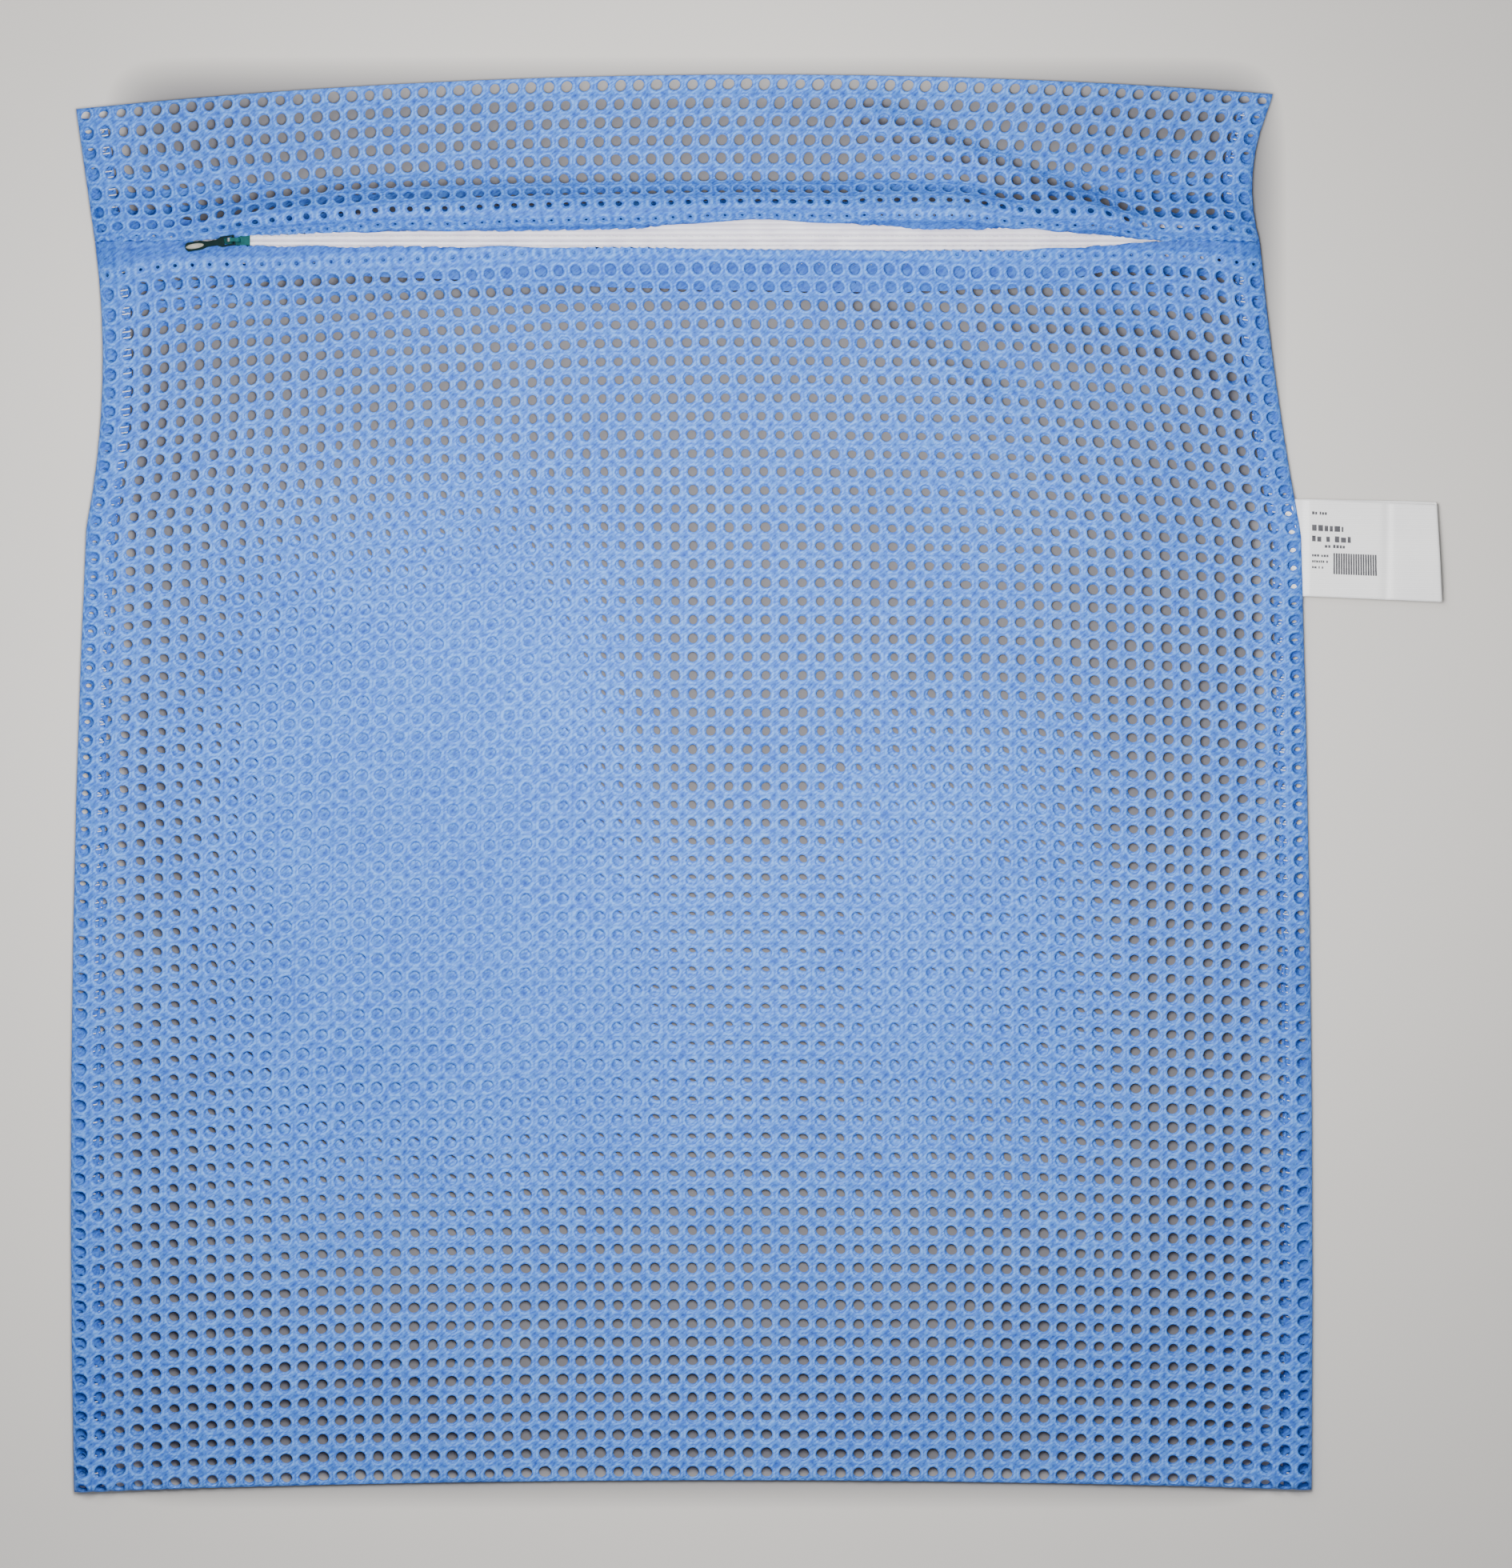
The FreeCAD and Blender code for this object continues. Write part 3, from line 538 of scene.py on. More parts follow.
def tube(points, radius, sides=6):
    """Points and faces of a round tube along a line of points."""
    line = np.asarray(points, float)
    way = np.gradient(line, axis=0)
    way /= np.linalg.norm(way, axis=1, keepdims=True)
    up = np.array([0.0, 0.0, 1.0])
    side = np.cross(way, up)
    length = np.linalg.norm(side, axis=1, keepdims=True)
    side = np.where(length > 1e-3, side / np.maximum(length, 1e-9), [1.0, 0.0, 0.0])
    over = np.cross(side, way)
    angle = np.arange(sides) * math.tau / sides
    ring = (side[:, None] * np.cos(angle)[None, :, None]
            + over[:, None] * np.sin(angle)[None, :, None]) * radius
    body = (line[:, None] + ring).reshape(-1, 3)
    faces = []
    for a in range(len(line) - 1):
        for b in range(sides):
            c = (b + 1) % sides
            faces.append([a * sides + b, a * sides + c, (a + 1) * sides + c, (a + 1) * sides + b])
    faces.append(list(range(sides))[::-1])
    last = (len(line) - 1) * sides
    faces.append([last + b for b in range(sides)])
    return body, faces


def join_tubes(name, lines, radius, sides=6):
    """One piece made of several tubes."""
    points, faces = [], []
    count = 0
    for line in lines:
        body, quads = tube(line, radius, sides)
        points.append(body)
        faces += [[index + count for index in face] for face in quads]
        count += len(body)
    return make_mesh(name, np.concatenate(points), faces)


def strip(name, rows):
    """Closed strip from cross-sections, each a ring of points in the same order."""
    rows = np.asarray(rows)
    sides = rows.shape[1]
    faces = []
    for a in range(len(rows) - 1):
        for b in range(sides):
            c = (b + 1) % sides
            faces.append([a * sides + b, (a + 1) * sides + b, (a + 1) * sides + c, a * sides + c])
    faces.append(list(range(sides)))
    last = (len(rows) - 1) * sides
    faces.append([last + b for b in range(sides)][::-1])
    return make_mesh(name, rows.reshape(-1, 3), faces)


# ---------------------------------------------------------------- materials

def new_material(name, color, roughness):
    """Principled material and its node tree."""
    material = bpy.data.materials.new(name)
    material.use_nodes = True
    shader = material.node_tree.nodes["Principled BSDF"]
    shader.inputs["Base Color"].default_value = (*color, 1)
    shader.inputs["Roughness"].default_value = roughness
    return material, material.node_tree, shader


def object_place(tree):
    """Position in the object's own space."""
    return tree.nodes.new("ShaderNodeTexCoord").outputs["Object"]


def texture_place(tree, scale, turn=0.0, origin=(0, 0, 0)):
    """Object position seen from a frame that is moved, turned about Z and scaled."""
    node = tree.nodes.new("ShaderNodeMapping")
    node.vector_type = "TEXTURE"
    node.inputs["Location"].default_value = origin
    node.inputs["Rotation"].default_value = (0, 0, turn)
    node.inputs["Scale"].default_value = scale
    tree.links.new(object_place(tree), node.inputs["Vector"])
    return node.outputs["Vector"]


def noise(tree, scale, detail=3.0, turn=0.0, stretch=1.0):
    """Noise in object space, drawn out along a direction in the floor's plane."""
    node = tree.nodes.new("ShaderNodeTexNoise")
    node.inputs["Scale"].default_value = scale
    node.inputs["Detail"].default_value = detail
    tree.links.new(texture_place(tree, (stretch, 1, 1), turn), node.inputs["Vector"])
    return node.outputs["Fac"]


def woven_lines(tree, scale, distortion):
    """Lines along the zip, close together."""
    node = tree.nodes.new("ShaderNodeTexWave")
    node.bands_direction = "Y"
    node.inputs["Scale"].default_value = scale
    node.inputs["Distortion"].default_value = distortion
    tree.links.new(object_place(tree), node.inputs["Vector"])
    return node.outputs["Fac"]


def vector_math(tree, operation, value, constant=None):
    """A vector operation on a value, with a constant if it needs one."""
    node = tree.nodes.new("ShaderNodeVectorMath")
    node.operation = operation
    tree.links.new(value, node.inputs[0])
    if constant:
        node.inputs[1].default_value = constant
    return node.outputs["Value" if operation == "LENGTH" else "Vector"]


def map_range(tree, value, low, high):
    """Node that takes the values from low to high to 0 to 1."""
    node = tree.nodes.new("ShaderNodeMapRange")
    node.inputs["From Min"].default_value = low
    node.inputs["From Max"].default_value = high
    tree.links.new(value, node.inputs["Value"])
    return node


def ramp(tree, value, stops):
    """Colour ramp over a value; stops are (position, colour)."""
    node = tree.nodes.new("ShaderNodeValToRGB")
    elements = node.color_ramp.elements
    while len(elements) < len(stops):
        elements.new(0.5)
    for element, (position, color) in zip(elements, stops):
        element.position = position
        element.color = (*color, 1)
    tree.links.new(value, node.inputs["Fac"])
    return node.outputs["Color"]


def multiply(tree, first, second):
    """Product of two colours."""
    node = tree.nodes.new("ShaderNodeMix")
    node.data_type = "RGBA"
    node.blend_type = "MULTIPLY"
    node.inputs["Factor"].default_value = 1.0
    tree.links.new(first, node.inputs["A"])
    tree.links.new(second, node.inputs["B"])
    return node.outputs["Result"]


def bump(tree, shader, height, strength, distance):
    """Bump into a shader's normal."""
    node = tree.nodes.new("ShaderNodeBump")
    node.inputs["Strength"].default_value = strength
    node.inputs["Distance"].default_value = distance
    tree.links.new(height, node.inputs["Height"])
    tree.links.new(node.outputs["Normal"], shader.inputs["Normal"])


def net_material():
    """Blue polyester: lighter thread round the holes, partly painted highlight, and painted shade
    deeper in the grooves and down the holes.
    """
    material, tree, shader = new_material("net_blue", (0.1, 0.29, 0.76), 0.6)
    shader.inputs["Specular IOR Level"].default_value = 0.2
    across = tree.nodes.new("ShaderNodeAttribute")
    across.attribute_name = "across"
    # Colours over the painted shade value: darkest at the corners and down the holes, mid blue on
    # the web, lightest on the thread's crest, partly painted highlight
    thread = ramp(tree, across.outputs["Fac"], [
        (0.0, (0.02, 0.1, 0.44)), (0.35, (0.05, 0.19, 0.68)), (0.7, (0.055, 0.22, 0.74)),
        (0.84, (0.105, 0.305, 0.86)), (1.0, (0.13, 0.335, 0.9))])
    patch = ramp(tree, noise(tree, 18.0), [(0.3, (0.84, 0.86, 0.9)), (0.7, (1.0, 1.0, 1.0))])
    twist = noise(tree, 1500.0, 2.0, math.radians(38), 3.0)
    yarn = ramp(tree, twist, [(0.36, (0.4, 0.52, 0.72)), (0.62, (1.15, 1.1, 1.0))])
    color = multiply(tree, multiply(tree, thread, patch), yarn)
    tree.links.new(color, shader.inputs["Base Color"])
    shader.inputs["Subsurface Weight"].default_value = 0.12
    shader.inputs["Subsurface Radius"].default_value = (0.5, 0.8, 1.0)
    shader.inputs["Subsurface Scale"].default_value = 0.001
    bump(tree, shader, twist, 0.8, 0.0003)
    return material


def thread_material():
    """Off-white spun thread."""
    material, tree, shader = new_material("thread_white", (0.8, 0.8, 0.78), 0.7)
    color = ramp(tree, noise(tree, 900.0), [(0.3, (0.66, 0.67, 0.7)), (0.7, (0.86, 0.86, 0.85))])
    tree.links.new(color, shader.inputs["Base Color"])
    bump(tree, shader, noise(tree, 3500.0, 2.0), 0.4, 0.0001)
    return material


def tape_material():
    """White woven tape, with mauve-grey painted shade in the grooves."""
    material, tree, shader = new_material("tape_white", (0.78, 0.76, 0.8), 0.75)
    weave = woven_lines(tree, 185.0, 0.4)
    base = ramp(tree, noise(tree, 160.0), [(0.3, (0.76, 0.73, 0.79)), (0.7, (0.9, 0.89, 0.91))])
    # Painted shade: mauve-grey lines where the weave is low, in its grooves
    lines = ramp(tree, weave, [(0.0, (0.7, 0.66, 0.76)), (0.45, (1.0, 1.0, 1.0))])
    tree.links.new(multiply(tree, base, lines), shader.inputs["Base Color"])
    bump(tree, shader, weave, 0.5, 0.0003)
    return material


def nylon_material():
    """Translucent-looking white nylon."""
    material, tree, shader = new_material("nylon_white", (0.8, 0.8, 0.82), 0.3)
    color = ramp(tree, noise(tree, 400.0), [(0.3, (0.7, 0.7, 0.74)), (0.7, (0.85, 0.85, 0.86))])
    tree.links.new(color, shader.inputs["Base Color"])
    return material


def enamel_material():
    """Teal-green enamel with a painted glint: bare light metal on the bridge's front end."""
    material, tree, shader = new_material("enamel_teal", (0.004, 0.09, 0.09), 0.45)
    color = ramp(tree, noise(tree, 700.0), [
        (0.3, (0.0015, 0.05, 0.052)), (0.62, (0.003, 0.085, 0.085)), (0.75, (0.01, 0.14, 0.135))])
    # Painted glint: bare light metal above the bridge's shoulder and beyond its end; limits in
    # metres
    split = tree.nodes.new("ShaderNodeSeparateXYZ")
    tree.links.new(object_place(tree), split.inputs["Vector"])
    high = map_range(tree, split.outputs["Z"], 0.0069, 0.0074)
    glint_patch = map_range(tree, split.outputs["X"], -0.1488, -0.1494)
    tree.links.new(high.outputs["Result"], glint_patch.inputs["To Max"])
    mixed = tree.nodes.new("ShaderNodeMix")
    mixed.data_type = "RGBA"
    mixed.inputs["B"].default_value = (0.62, 0.6, 0.54, 1)
    tree.links.new(glint_patch.outputs["Result"], mixed.inputs["Factor"])
    tree.links.new(color, mixed.inputs["A"])
    tree.links.new(mixed.outputs["Result"], shader.inputs["Base Color"])
    tree.links.new(glint_patch.outputs["Result"], shader.inputs["Metallic"])
    shader.inputs["Specular IOR Level"].default_value = 0.12
    bump(tree, shader, noise(tree, 900.0), 0.15, 0.0001)
    return material


def pull_material():
    """Dark green enamel, rubbed through to bare metal on the flat of the tip."""
    material, tree, shader = new_material("pull_worn", (0.4, 0.4, 0.36), 0.3)
    turned = texture_place(tree, (0.0032, 0.0009, 1.0), PULL_YAW, PULL_TIP)
    away = vector_math(tree, "LENGTH", vector_math(tree, "MULTIPLY", turned, (1, 1, 0)))
    color = ramp(tree, away, [
        (0.0, (0.5, 0.48, 0.42)), (0.8, (0.36, 0.35, 0.3)), (0.95, (0.002, 0.014, 0.014))])
    metal = ramp(tree, away, [(0.8, (0.5, 0.5, 0.5)), (0.95, (0.0, 0.0, 0.0))])
    shader.inputs["Specular IOR Level"].default_value = 0.12
    patch = ramp(tree, noise(tree, 900.0), [(0.3, (0.7, 0.7, 0.7)), (0.7, (1.0, 1.0, 1.0))])
    tree.links.new(multiply(tree, color, patch), shader.inputs["Base Color"])
    tree.links.new(metal, shader.inputs["Metallic"])
    return material


def label_material():
    """White satin with a fine weave."""
    material, tree, shader = new_material("label_satin", (0.8, 0.8, 0.8), 0.4)
    weave = woven_lines(tree, 700.0, 1.0)
    base = ramp(tree, noise(tree, 60.0), [(0.3, (0.86, 0.86, 0.87)), (0.7, (0.93, 0.93, 0.92))])
    lines = ramp(tree, weave, [(0.0, (0.9, 0.9, 0.9)), (1.0, (1.0, 1.0, 1.0))])
    tree.links.new(multiply(tree, base, lines), shader.inputs["Base Color"])
    shader.inputs["Sheen Weight"].default_value = 0.2
    bump(tree, shader, weave, 0.2, 0.0001)
    return material


def print_material():
    """Grey print on the label."""
    material, tree, shader = new_material("label_print", (0.2, 0.2, 0.22), 0.6)
    color = ramp(tree, noise(tree, 500.0), [(0.3, (0.03, 0.03, 0.04)), (0.7, (0.08, 0.08, 0.09))])
    tree.links.new(color, shader.inputs["Base Color"])
    return material


def floor_material():
    """Pale warm grey floor with a painted shadow, dark and bluish, inside a rounded oblong where
    the bag covers it.
    """
    material, tree, shader = new_material("floor_pale", (0.58, 0.56, 0.53), 0.8)
    color = ramp(tree, noise(tree, 6.0), [(0.3, (0.57, 0.55, 0.52)), (0.7, (0.59, 0.57, 0.54))])
    # Painted shadow: dark and bluish inside a rounded oblong under the bag, pale outside
    scaled = vector_math(tree, "MULTIPLY", object_place(tree), (1 / 0.198, 1 / 0.242, 0))
    powered = vector_math(tree, "POWER", vector_math(tree, "ABSOLUTE", scaled), (12, 12, 12))
    away = vector_math(tree, "LENGTH", powered)
    painted_shadow = ramp(tree, away, [(0.3, (0.22, 0.225, 0.26)), (0.7, (1.0, 1.0, 1.0))])
    tree.links.new(multiply(tree, color, painted_shadow), shader.inputs["Base Color"])
    return material


def dress(piece, material, body="bag"):
    """Material and body of a finished piece."""
    piece.data.materials.clear()
    piece.data.materials.append(material)
    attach(piece, body)


# ---------------------------------------------------------------- net


def stretch_of_net(name, ply, rows, seed, material, tight=(), painted_shade=()):
    """One stretch of a ply, as wide as the bag."""
    piece = net_piece(name, ply, COLUMNS, rows, seed, tight, painted_shade)
    dress(piece, material)
    return piece


def build_net(material):
    """Back, front and top stretches; the rows turned under at the slit are tighter, and they and
    the back ply behind the zip carry painted shade.
    """
    back = back_carrier()
    front = hemmed_carrier(FRONT_ROWS, from_top=False)
    top = hemmed_carrier(TOP_ROWS, from_top=True)
    for k, rows in enumerate([(0, 26), (26, 51), (51, ROWS)], 1):
        # Painted shade gives the back ply a deeper blue in the rows behind the zip
        piece = stretch_of_net(f"net_back_{k}", back, rows, 100 + k, material,
                               painted_shade=[(0.45, (60.5, 63.5)), (-0.45, (70.5, 73.5))])
        if k == 1:
            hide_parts("back_net", "bottom_fold")
    for k, rows in enumerate([(0, 24), (24, 48), (48, FRONT_ROWS)], 1):
        # Rows turned under the lower hem close up and take painted shade
        piece = stretch_of_net(f"net_front_{k}", front, rows, 110 + k, material,
                               tight=[(0.72, (65.5, 66.7)), (0.2, (66.7, 67.4))],
                               painted_shade=[(0.65, (66.6, 67.4))])
        if k == 1:
            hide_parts("front_net")
    # Rows turned under the upper hem close up and take painted shade
    piece = stretch_of_net("net_top", top, (0, TOP_ROWS), 120, material,
                           tight=[(0.45, (3.4, 2.6)), (0.3, (2.4, 1.6)), (0.17, (1.4, 0.6))],
                           painted_shade=[(0.65, (1.4, 0.6))])
    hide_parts("top_net", "top_fold")


def seam_carrier(sign, level, slip, lift=0.0):
    """A turned-in ply beside one side; slip moves it along and lift takes it over the ribbon."""
    inset = np.linspace(0.6, SEAM_REACH, SEAM_COLUMNS * STEPS + 1)[:, None]
    y = np.linspace(BOTTOM_Y[0] + 3.0, seam_top(sign), ROWS * STEPS + 1)[None, :] + slip
    wobble = 0.35 * np.sin(y / 7.0 + 2 * slip) * inset / SEAM_REACH
    if sign > 0:
        inset, wobble = inset[::-1], wobble[::-1]
        x = right_x(y) - inset + wobble
    else:
        x = left_x(y) + inset + wobble
    z = level + 0.08 * np.sin(y / 5.0) + lift * label_gap(x, y) * smooth(inset, 0.5, 2.5)
    return carrier(np.stack([x, y + 0 * x, z], 2))


def seam_top(sign):
    """y where a side seam ends below the top fold."""
    return (TOP_Y[-1] if sign > 0 else TOP_Y[0]) - 4.0


def overlock_line(sign):
    """Thread looped over the raw edges; it lies higher where it shows through the net."""
    ys = np.linspace(BOTTOM_Y[0] + 4, seam_top(sign) - 1, 3 * ROWS * 12 + 1)
    turn = np.linspace(0, 3 * ROWS * math.tau, len(ys))
    showing = smooth(ys, 85, 115) if sign < 0 else 2 * label_gap(194.0, ys)
    inset = 6.8 + (2.0 + 0.3 * showing) * np.sin(turn)
    x = left_x(ys) + inset if sign < 0 else right_x(ys) - inset
    z = 0.9 + 0.28 * showing + (0.3 + 0.3 * showing) * np.cos(turn)
    return np.stack([x, ys, z], 1)


def build_seams(material, thread):
    """Turned-in plies of both side seams and the overlock thread on their raw edges."""
    for name, sign in (("left", -1), ("right", 1)):
        # Both turned-in plies take painted shade over all their rows
        lower = net_piece(f"net_{name}_seam", seam_carrier(sign, 0.82, 0.9),
                          SEAM_COLUMNS, (0, ROWS), 130, painted_shade=[(0.5, ALL_ROWS)])
        upper = net_piece("upper_ply", seam_carrier(sign, 1.3, -1.1, lift=1.0),
                          SEAM_COLUMNS, (0, ROWS), 131, painted_shade=[(0.5, ALL_ROWS)])
        join(lower, upper)
        dress(lower, material)
        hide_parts(f"{name}_seam_allowance")
        overlock = join_tubes(f"{name}_overlock", [overlock_line(sign)], 0.2)
        dress(overlock, thread)
        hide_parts(f"{name}_seam_thread")


# ---------------------------------------------------------------- zip

def tape(side, sign, material):
    """Woven tape with lengthwise ridges."""
    low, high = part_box(f"zip_{side}_tape")
    left, right = low.x / MM, high.x / MM
    bottom, top = low.z / MM, high.z / MM
    across = np.linspace(0.03, (high.y - low.y) / MM + 0.6, 40)
    ridge = 0.16 * np.abs(np.sin(math.pi * across / 1.7))
    rows = []
    for x in np.linspace(left, right, 260):
        belly = 0.3 * np.exp(-((across - 2.5) / 3.0) ** 2) + 0.05 * math.sin(x / 17.0)
        y = pinch(x, ZIP_Y + sign * across, 0 * across)[0]
        up = np.stack([np.full_like(across, x), y, top - 0.12 + ridge + belly], 1)
        down = np.stack([np.full_like(across, x), y, bottom + belly * 0.9], 1)[::-1]
        ring = np.concatenate([up, down])
        rows.append(ring if sign > 0 else ring[::-1])
    piece = strip(f"{side}_tape", rows)
    dress(piece, material)
    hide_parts(f"zip_{side}_tape")


def coil(side, material):
    """Nylon coil as a flattened helix, about 1.15 mm for each turn."""
    low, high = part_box(f"zip_{side}_coil")
    left, right = low.x / MM, high.x / MM
    middle_y = (low.y + high.y) / 2 / MM
    middle_z = (low.z + high.z) / 2 / MM
    turns = int((right - left - 0.6) / 1.15)
    angle = np.linspace(0, turns * math.tau, turns * 12 + 1)
    x = np.linspace(left + 0.3, right - 0.3, len(angle))
    y = middle_y + 0.93 * np.cos(angle)
    z = middle_z + 0.42 * np.sin(angle)
    piece = join_tubes(f"{side}_coil", [np.stack([x, y, z], 1)], 0.2, 5)
    dress(piece, material)
    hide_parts(f"zip_{side}_coil")


def stitches(name, node, y_of, pitch, length, level, thread):
    """A row of short stitches along the zip, in place of a CAD node; y_of gives y over x."""
    low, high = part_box(node)
    lines = []
    x = low.x / MM + 1.0
    while x + length < high.x / MM - 0.5:
        t = np.linspace(0, 1, 6)
        bow = level + 0.12 * np.sin(math.pi * t)
        xs = x + length * t
        lines.append(np.stack([xs, y_of(xs), bow], 1))
        x += pitch
    piece = join_tubes(name, lines, 0.14, 5)
    dress(piece, thread)
    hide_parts(node)


def bar_tack(side, thread):
    """Close zigzag across a slit's end."""
    low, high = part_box(f"{side}_bar_tack")
    count = 13
    ys = np.linspace(low.y / MM + 0.3, high.y / MM - 0.3, count)
    xs = np.where(np.arange(count) % 2 == 0, low.x / MM + 0.3, high.x / MM - 0.3)
    fine = np.linspace(0, count - 1, count * 5)
    x = np.interp(fine, np.arange(count), xs)
    y = np.interp(fine, np.arange(count), ys)
    z = np.full_like(x, 3.75)
    piece = join_tubes(f"{side}_tack", [np.stack([x, y, z], 1)], 0.16, 5)
    dress(piece, thread)
    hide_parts(f"{side}_bar_tack")


def build_zip(tape_look, nylon, thread):
    """Tapes, coils, cords, stops and stitching."""
    for side, sign, edge in (("upper", 1, UPPER_EDGE), ("lower", -1, LOWER_EDGE)):
        def beside_coil(xs, sign=sign):
            return np.full_like(xs, ZIP_Y + sign * 1.5)

        def on_hem(xs, sign=sign, edge=edge):
            past = np.maximum(6.45, hem_distance(edge, xs) + 2.0)
            return pinch(xs, ZIP_Y + sign * past, 0 * xs)[0]

        tape(side, sign, tape_look)
        coil(side, nylon)
        stitches(f"{side}_coil_stitches", f"{side}_coil_stitching", beside_coil,
                 2.4, 1.7, 3.78, thread)
        stitches(f"{side}_hem_stitches", f"{side}_hem_stitching", on_hem,
                 3.2, 2.3, 3.6, thread)
        bare(f"{side}_core_cord", thread)
        bare(f"zip_{side}_top_stop", nylon)
    bare("zip_bottom_stop", nylon)
    bar_tack("left", thread)
    bar_tack("right", thread)


def bare(node, material):
    """A CAD node shown as it is, in its material."""
    nodes[node].data.materials.clear()
    nodes[node].data.materials.append(material)


# ---------------------------------------------------------------- label

RIBBON_HALF = 0.09                                  # half thickness of the ribbon
RIBBON_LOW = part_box("care_label")[0].y / MM + 0.1   # y of its lower edge
RIBBON_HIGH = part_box("care_label")[1].y / MM - 0.1  # y of its upper edge


def ribbon_point(x, y, ply):
    """Point of one ply of the care label; ply is 1 for the upper and -1 for the lower."""
    share = (y - RIBBON_LOW) / (RIBBON_HIGH - RIBBON_LOW)
    seam = smooth(x, 196.8, 199.4)
    middle = 1.35 + 0.55 * seam
    apart = 0.12 + 0.45 * smooth(x, 203, 236)
    curl = 0.45 * np.sin(3.4 * share + 0.4) * smooth(x, 203, 234)
    crease = 0.4 * np.exp(-(((x - 223.4 - 1.5 * share) / 1.3) ** 2)) if ply > 0 else 0.0
    swing = -0.045 * np.maximum(x - 199.0, 0) + (0.0 if ply > 0 else 0.9 * smooth(x, 202, 236))
    lean = 1.6 * (0.5 - share) * smooth(x, 205, 240)
    return x + lean, y + swing, middle + ply * apart + curl - crease


def build_label(satin, ink):
    """Folded ribbon: its ends in the seam, and the loop outside."""
    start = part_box("label_tail")[0].x / MM + 1.5
    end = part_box("care_label")[1].x / MM - 1.2
    xs = np.concatenate([np.linspace(start, 198.2, 14), np.linspace(198.3, 199.8, 9),
                         np.linspace(200.4, end, 60)])
    bend = np.linspace(math.pi / 2, -math.pi / 2, 9)[1:-1]
    rows = []
    for y in np.linspace(RIBBON_LOW, RIBBON_HIGH, 44):
        upper = np.stack(np.broadcast_arrays(*ribbon_point(xs, y, 1)), 1)
        lower = np.stack(np.broadcast_arrays(*ribbon_point(xs, y, -1)), 1)
        half = (upper[-1, 2] - lower[-1, 2]) / 2
        centre = (upper[-1] + lower[-1]) / 2
        ahead = np.zeros((len(bend), 3))
        ahead[:, 0] = half * np.cos(bend) * 1.3
        ahead[:, 1] = (upper[-1, 1] - lower[-1, 1]) / 2 * np.sin(bend)
        ahead[:, 2] = half * np.sin(bend)
        line = np.concatenate([upper, centre + ahead, lower[::-1]])
        way = np.gradient(line[:, [0, 2]], axis=0)
        way /= np.linalg.norm(way, axis=1, keepdims=True)
        side = np.stack([way[:, 1], 0 * way[:, 0], -way[:, 0]], 1) * RIBBON_HALF
        rows.append(np.concatenate([line - side, (line + side)[::-1]]))
    piece = strip("label_ribbon", rows)
    piece.data.materials.append(satin)
    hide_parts("care_label", "label_tail")
    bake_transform(piece)
    build_print(ink)


def build_print(ink):
    """Rows of plain dashes and a block of even bars, standing for print."""
    rng = np.random.default_rng(7)
    points, faces = [], []

    def block(x0, x1, y0, y1):
        a = len(points)
        for x in (x0, x1):
            for y in (y0, y1):
                px, py, pz = (float(value) for value in ribbon_point(x, y, 1))
                points.extend([(px, py, pz + 0.1), (px, py, pz + 0.14)])
        faces.extend([[a + 1, a + 5, a + 7, a + 3], [a, a + 2, a + 6, a + 4],
                      [a, a + 4, a + 5, a + 1], [a + 2, a + 3, a + 7, a + 6],
                      [a, a + 1, a + 3, a + 2], [a + 4, a + 6, a + 7, a + 5]])

    # Rows of dashes: left end, right end, level, height of a dash
    for x, stop, y, tall in ((199.9, 205.0, 86.6, 1.0), (199.9, 210.0, 81.3, 2.0),
                             (199.9, 212.4, 77.9, 2.0), (204.0, 211.0, 76.0, 1.1),
                             (199.9, 205.2, 73.0, 0.8), (199.9, 205.2, 71.1, 0.8),
                             (199.9, 204.0, 69.2, 0.8)):
        while x < stop - 0.3:
            word = tall * rng.uniform(0.5, 0.95)
            block(x, min(x + word, stop), y, y + tall * rng.uniform(0.8, 1.0))
            x += word + tall * (0.25 if rng.uniform() < 0.8 else 0.8)
    for bar in range(18):
        x = 206.8 + bar * 0.78
        block(x, x + 0.54, 67.6, 74.4)
    piece = make_mesh("label_print", points, faces, False)
    dress(piece, ink, "label")


# ---------------------------------------------------------------- scene

CAMERA_HEIGHT = 1.5     # metres over the floor
VIEW_WIDTH = 0.5069     # metres of floor that the camera sees across


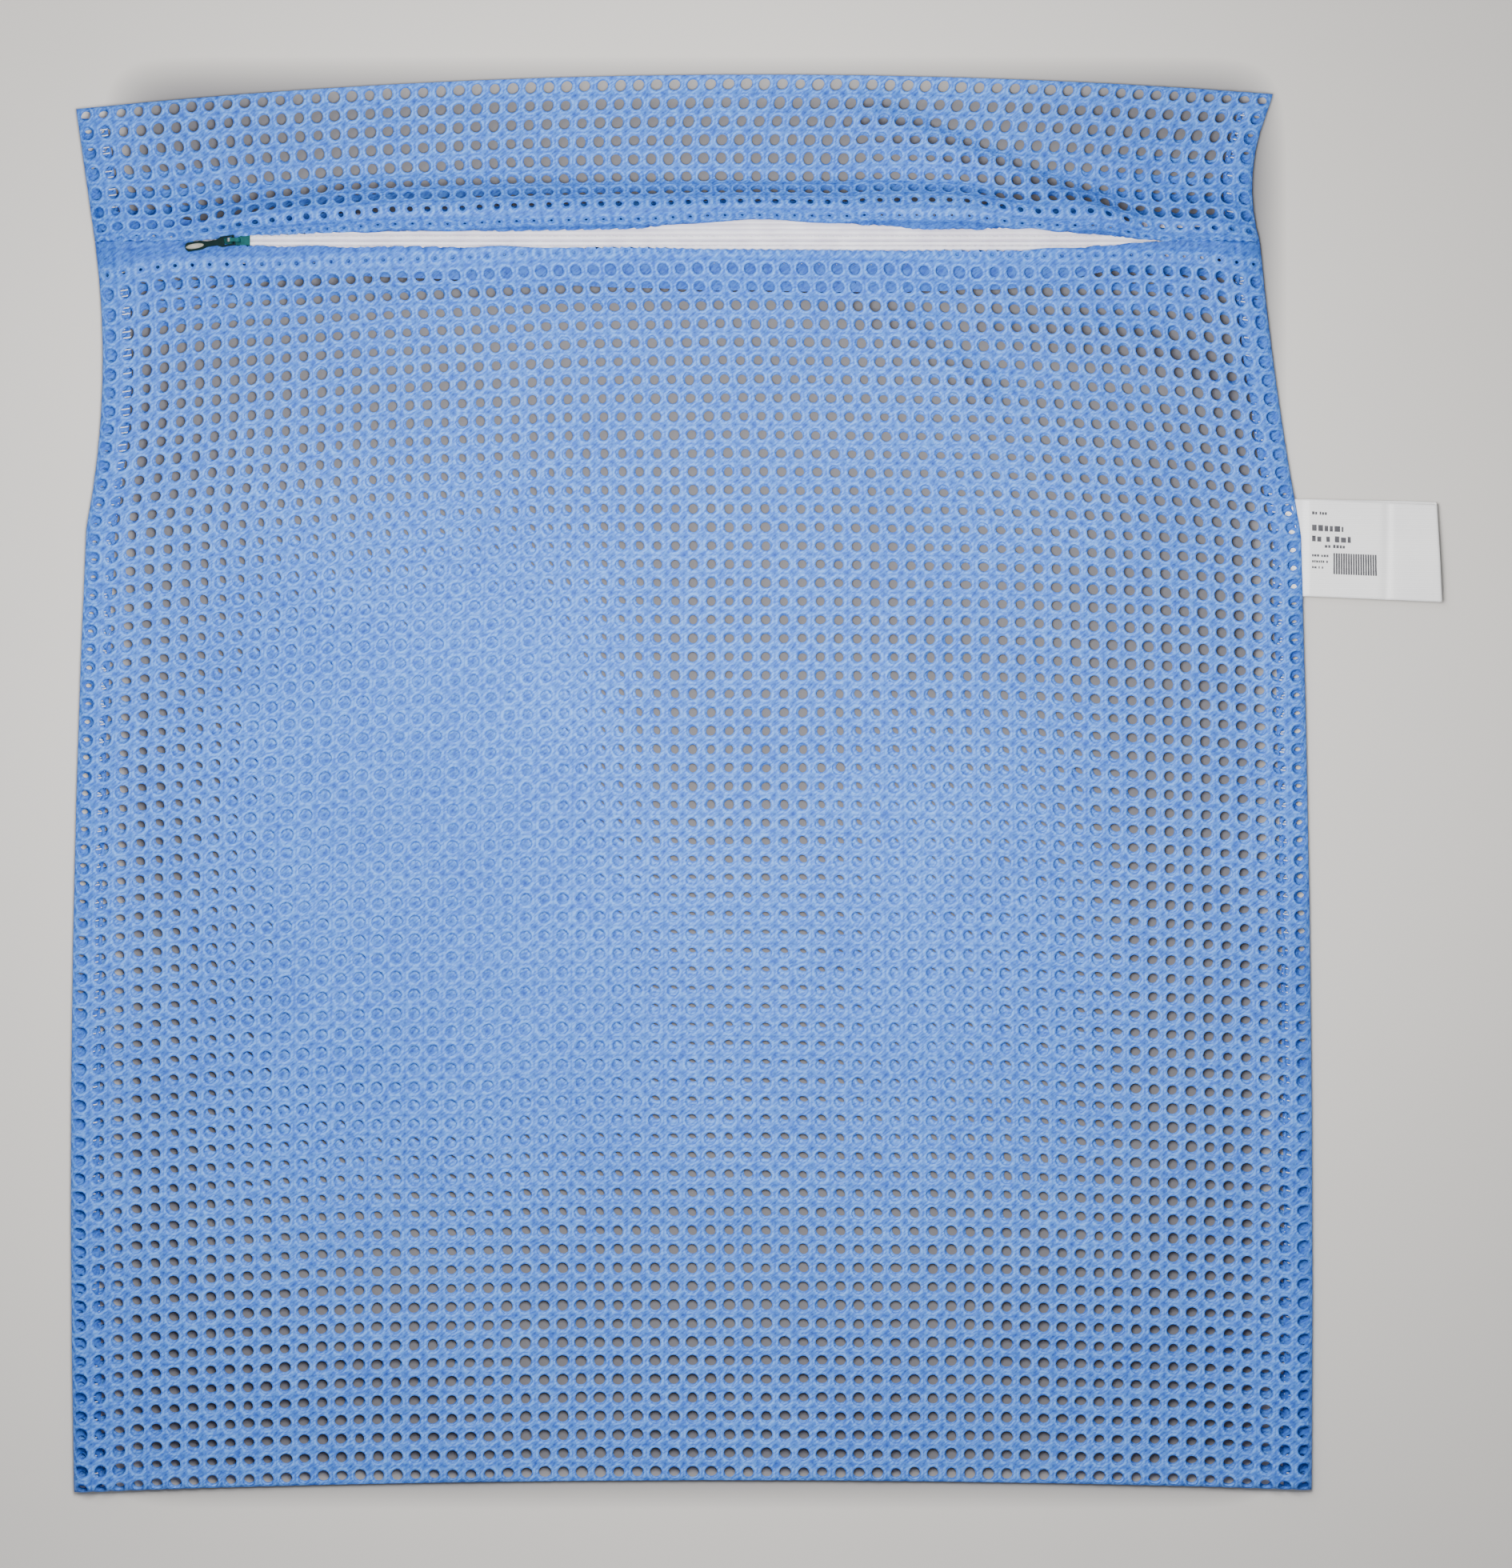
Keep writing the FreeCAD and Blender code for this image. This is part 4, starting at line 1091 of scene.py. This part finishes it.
def build_floor():
    """Floor under the bag, plain but for the painted shadow where the bag covers it."""
    half, level = 8.0, -0.0001
    corners = ((-half, -half), (half, -half), (half, half), (-half, half))
    points = [(x, y, level) for x, y in corners]
    mesh = bpy.data.meshes.new("floor")
    mesh.from_pydata(points, [], [(0, 1, 2, 3)])
    floor = bpy.data.objects.new("floor", mesh)
    bpy.context.scene.collection.objects.link(floor)
    mesh.materials.append(floor_material())


def area_light(name, place, size, power, color):
    """Soft light aimed at the middle of the bag."""
    data = bpy.data.lights.new(name, "AREA")
    data.shape = "DISK"
    data.size = size
    data.energy = power
    data.color = color
    lamp = bpy.data.objects.new(name, data)
    lamp.location = place
    lamp.rotation_euler = (-Vector(place)).to_track_quat("-Z", "Y").to_euler()
    bpy.context.scene.collection.objects.link(lamp)
    lamp.visible_camera = False


def build_light_and_camera():
    """Soft key from the upper left, a fill opposite, pale surroundings, camera overhead."""
    area_light("key", (-0.9, 0.9, 1.0), 0.6, 8.0, (1.0, 0.985, 0.96))
    area_light("over", (-0.01, 0.07, 0.44), 0.3, 4.6, (1.0, 0.99, 0.98))
    area_light("fill", (1.0, -0.7, 1.6), 1.6, 3.0, (0.94, 0.97, 1.0))
    world = bpy.data.worlds.new("studio")
    world.use_nodes = True
    sky = world.node_tree.nodes["Background"]
    sky.inputs["Color"].default_value = (0.93, 0.95, 1.0, 1)
    sky.inputs["Strength"].default_value = 0.32
    bpy.context.scene.world = world
    data = bpy.data.cameras.new("camera")
    data.sensor_width = 36
    data.lens = data.sensor_width * CAMERA_HEIGHT / VIEW_WIDTH
    camera = bpy.data.objects.new("camera", data)
    camera.location = (0.0204, -0.0005, CAMERA_HEIGHT)
    bpy.context.scene.collection.objects.link(camera)
    bpy.context.scene.camera = camera


NET = net_material()
THREAD = thread_material()
build_net(NET)
build_seams(NET, THREAD)
build_zip(tape_material(), nylon_material(), THREAD)
bare("slider_body", enamel_material())
bare("pull_tab", pull_material())
build_label(label_material(), print_material())
build_floor()
build_light_and_camera()
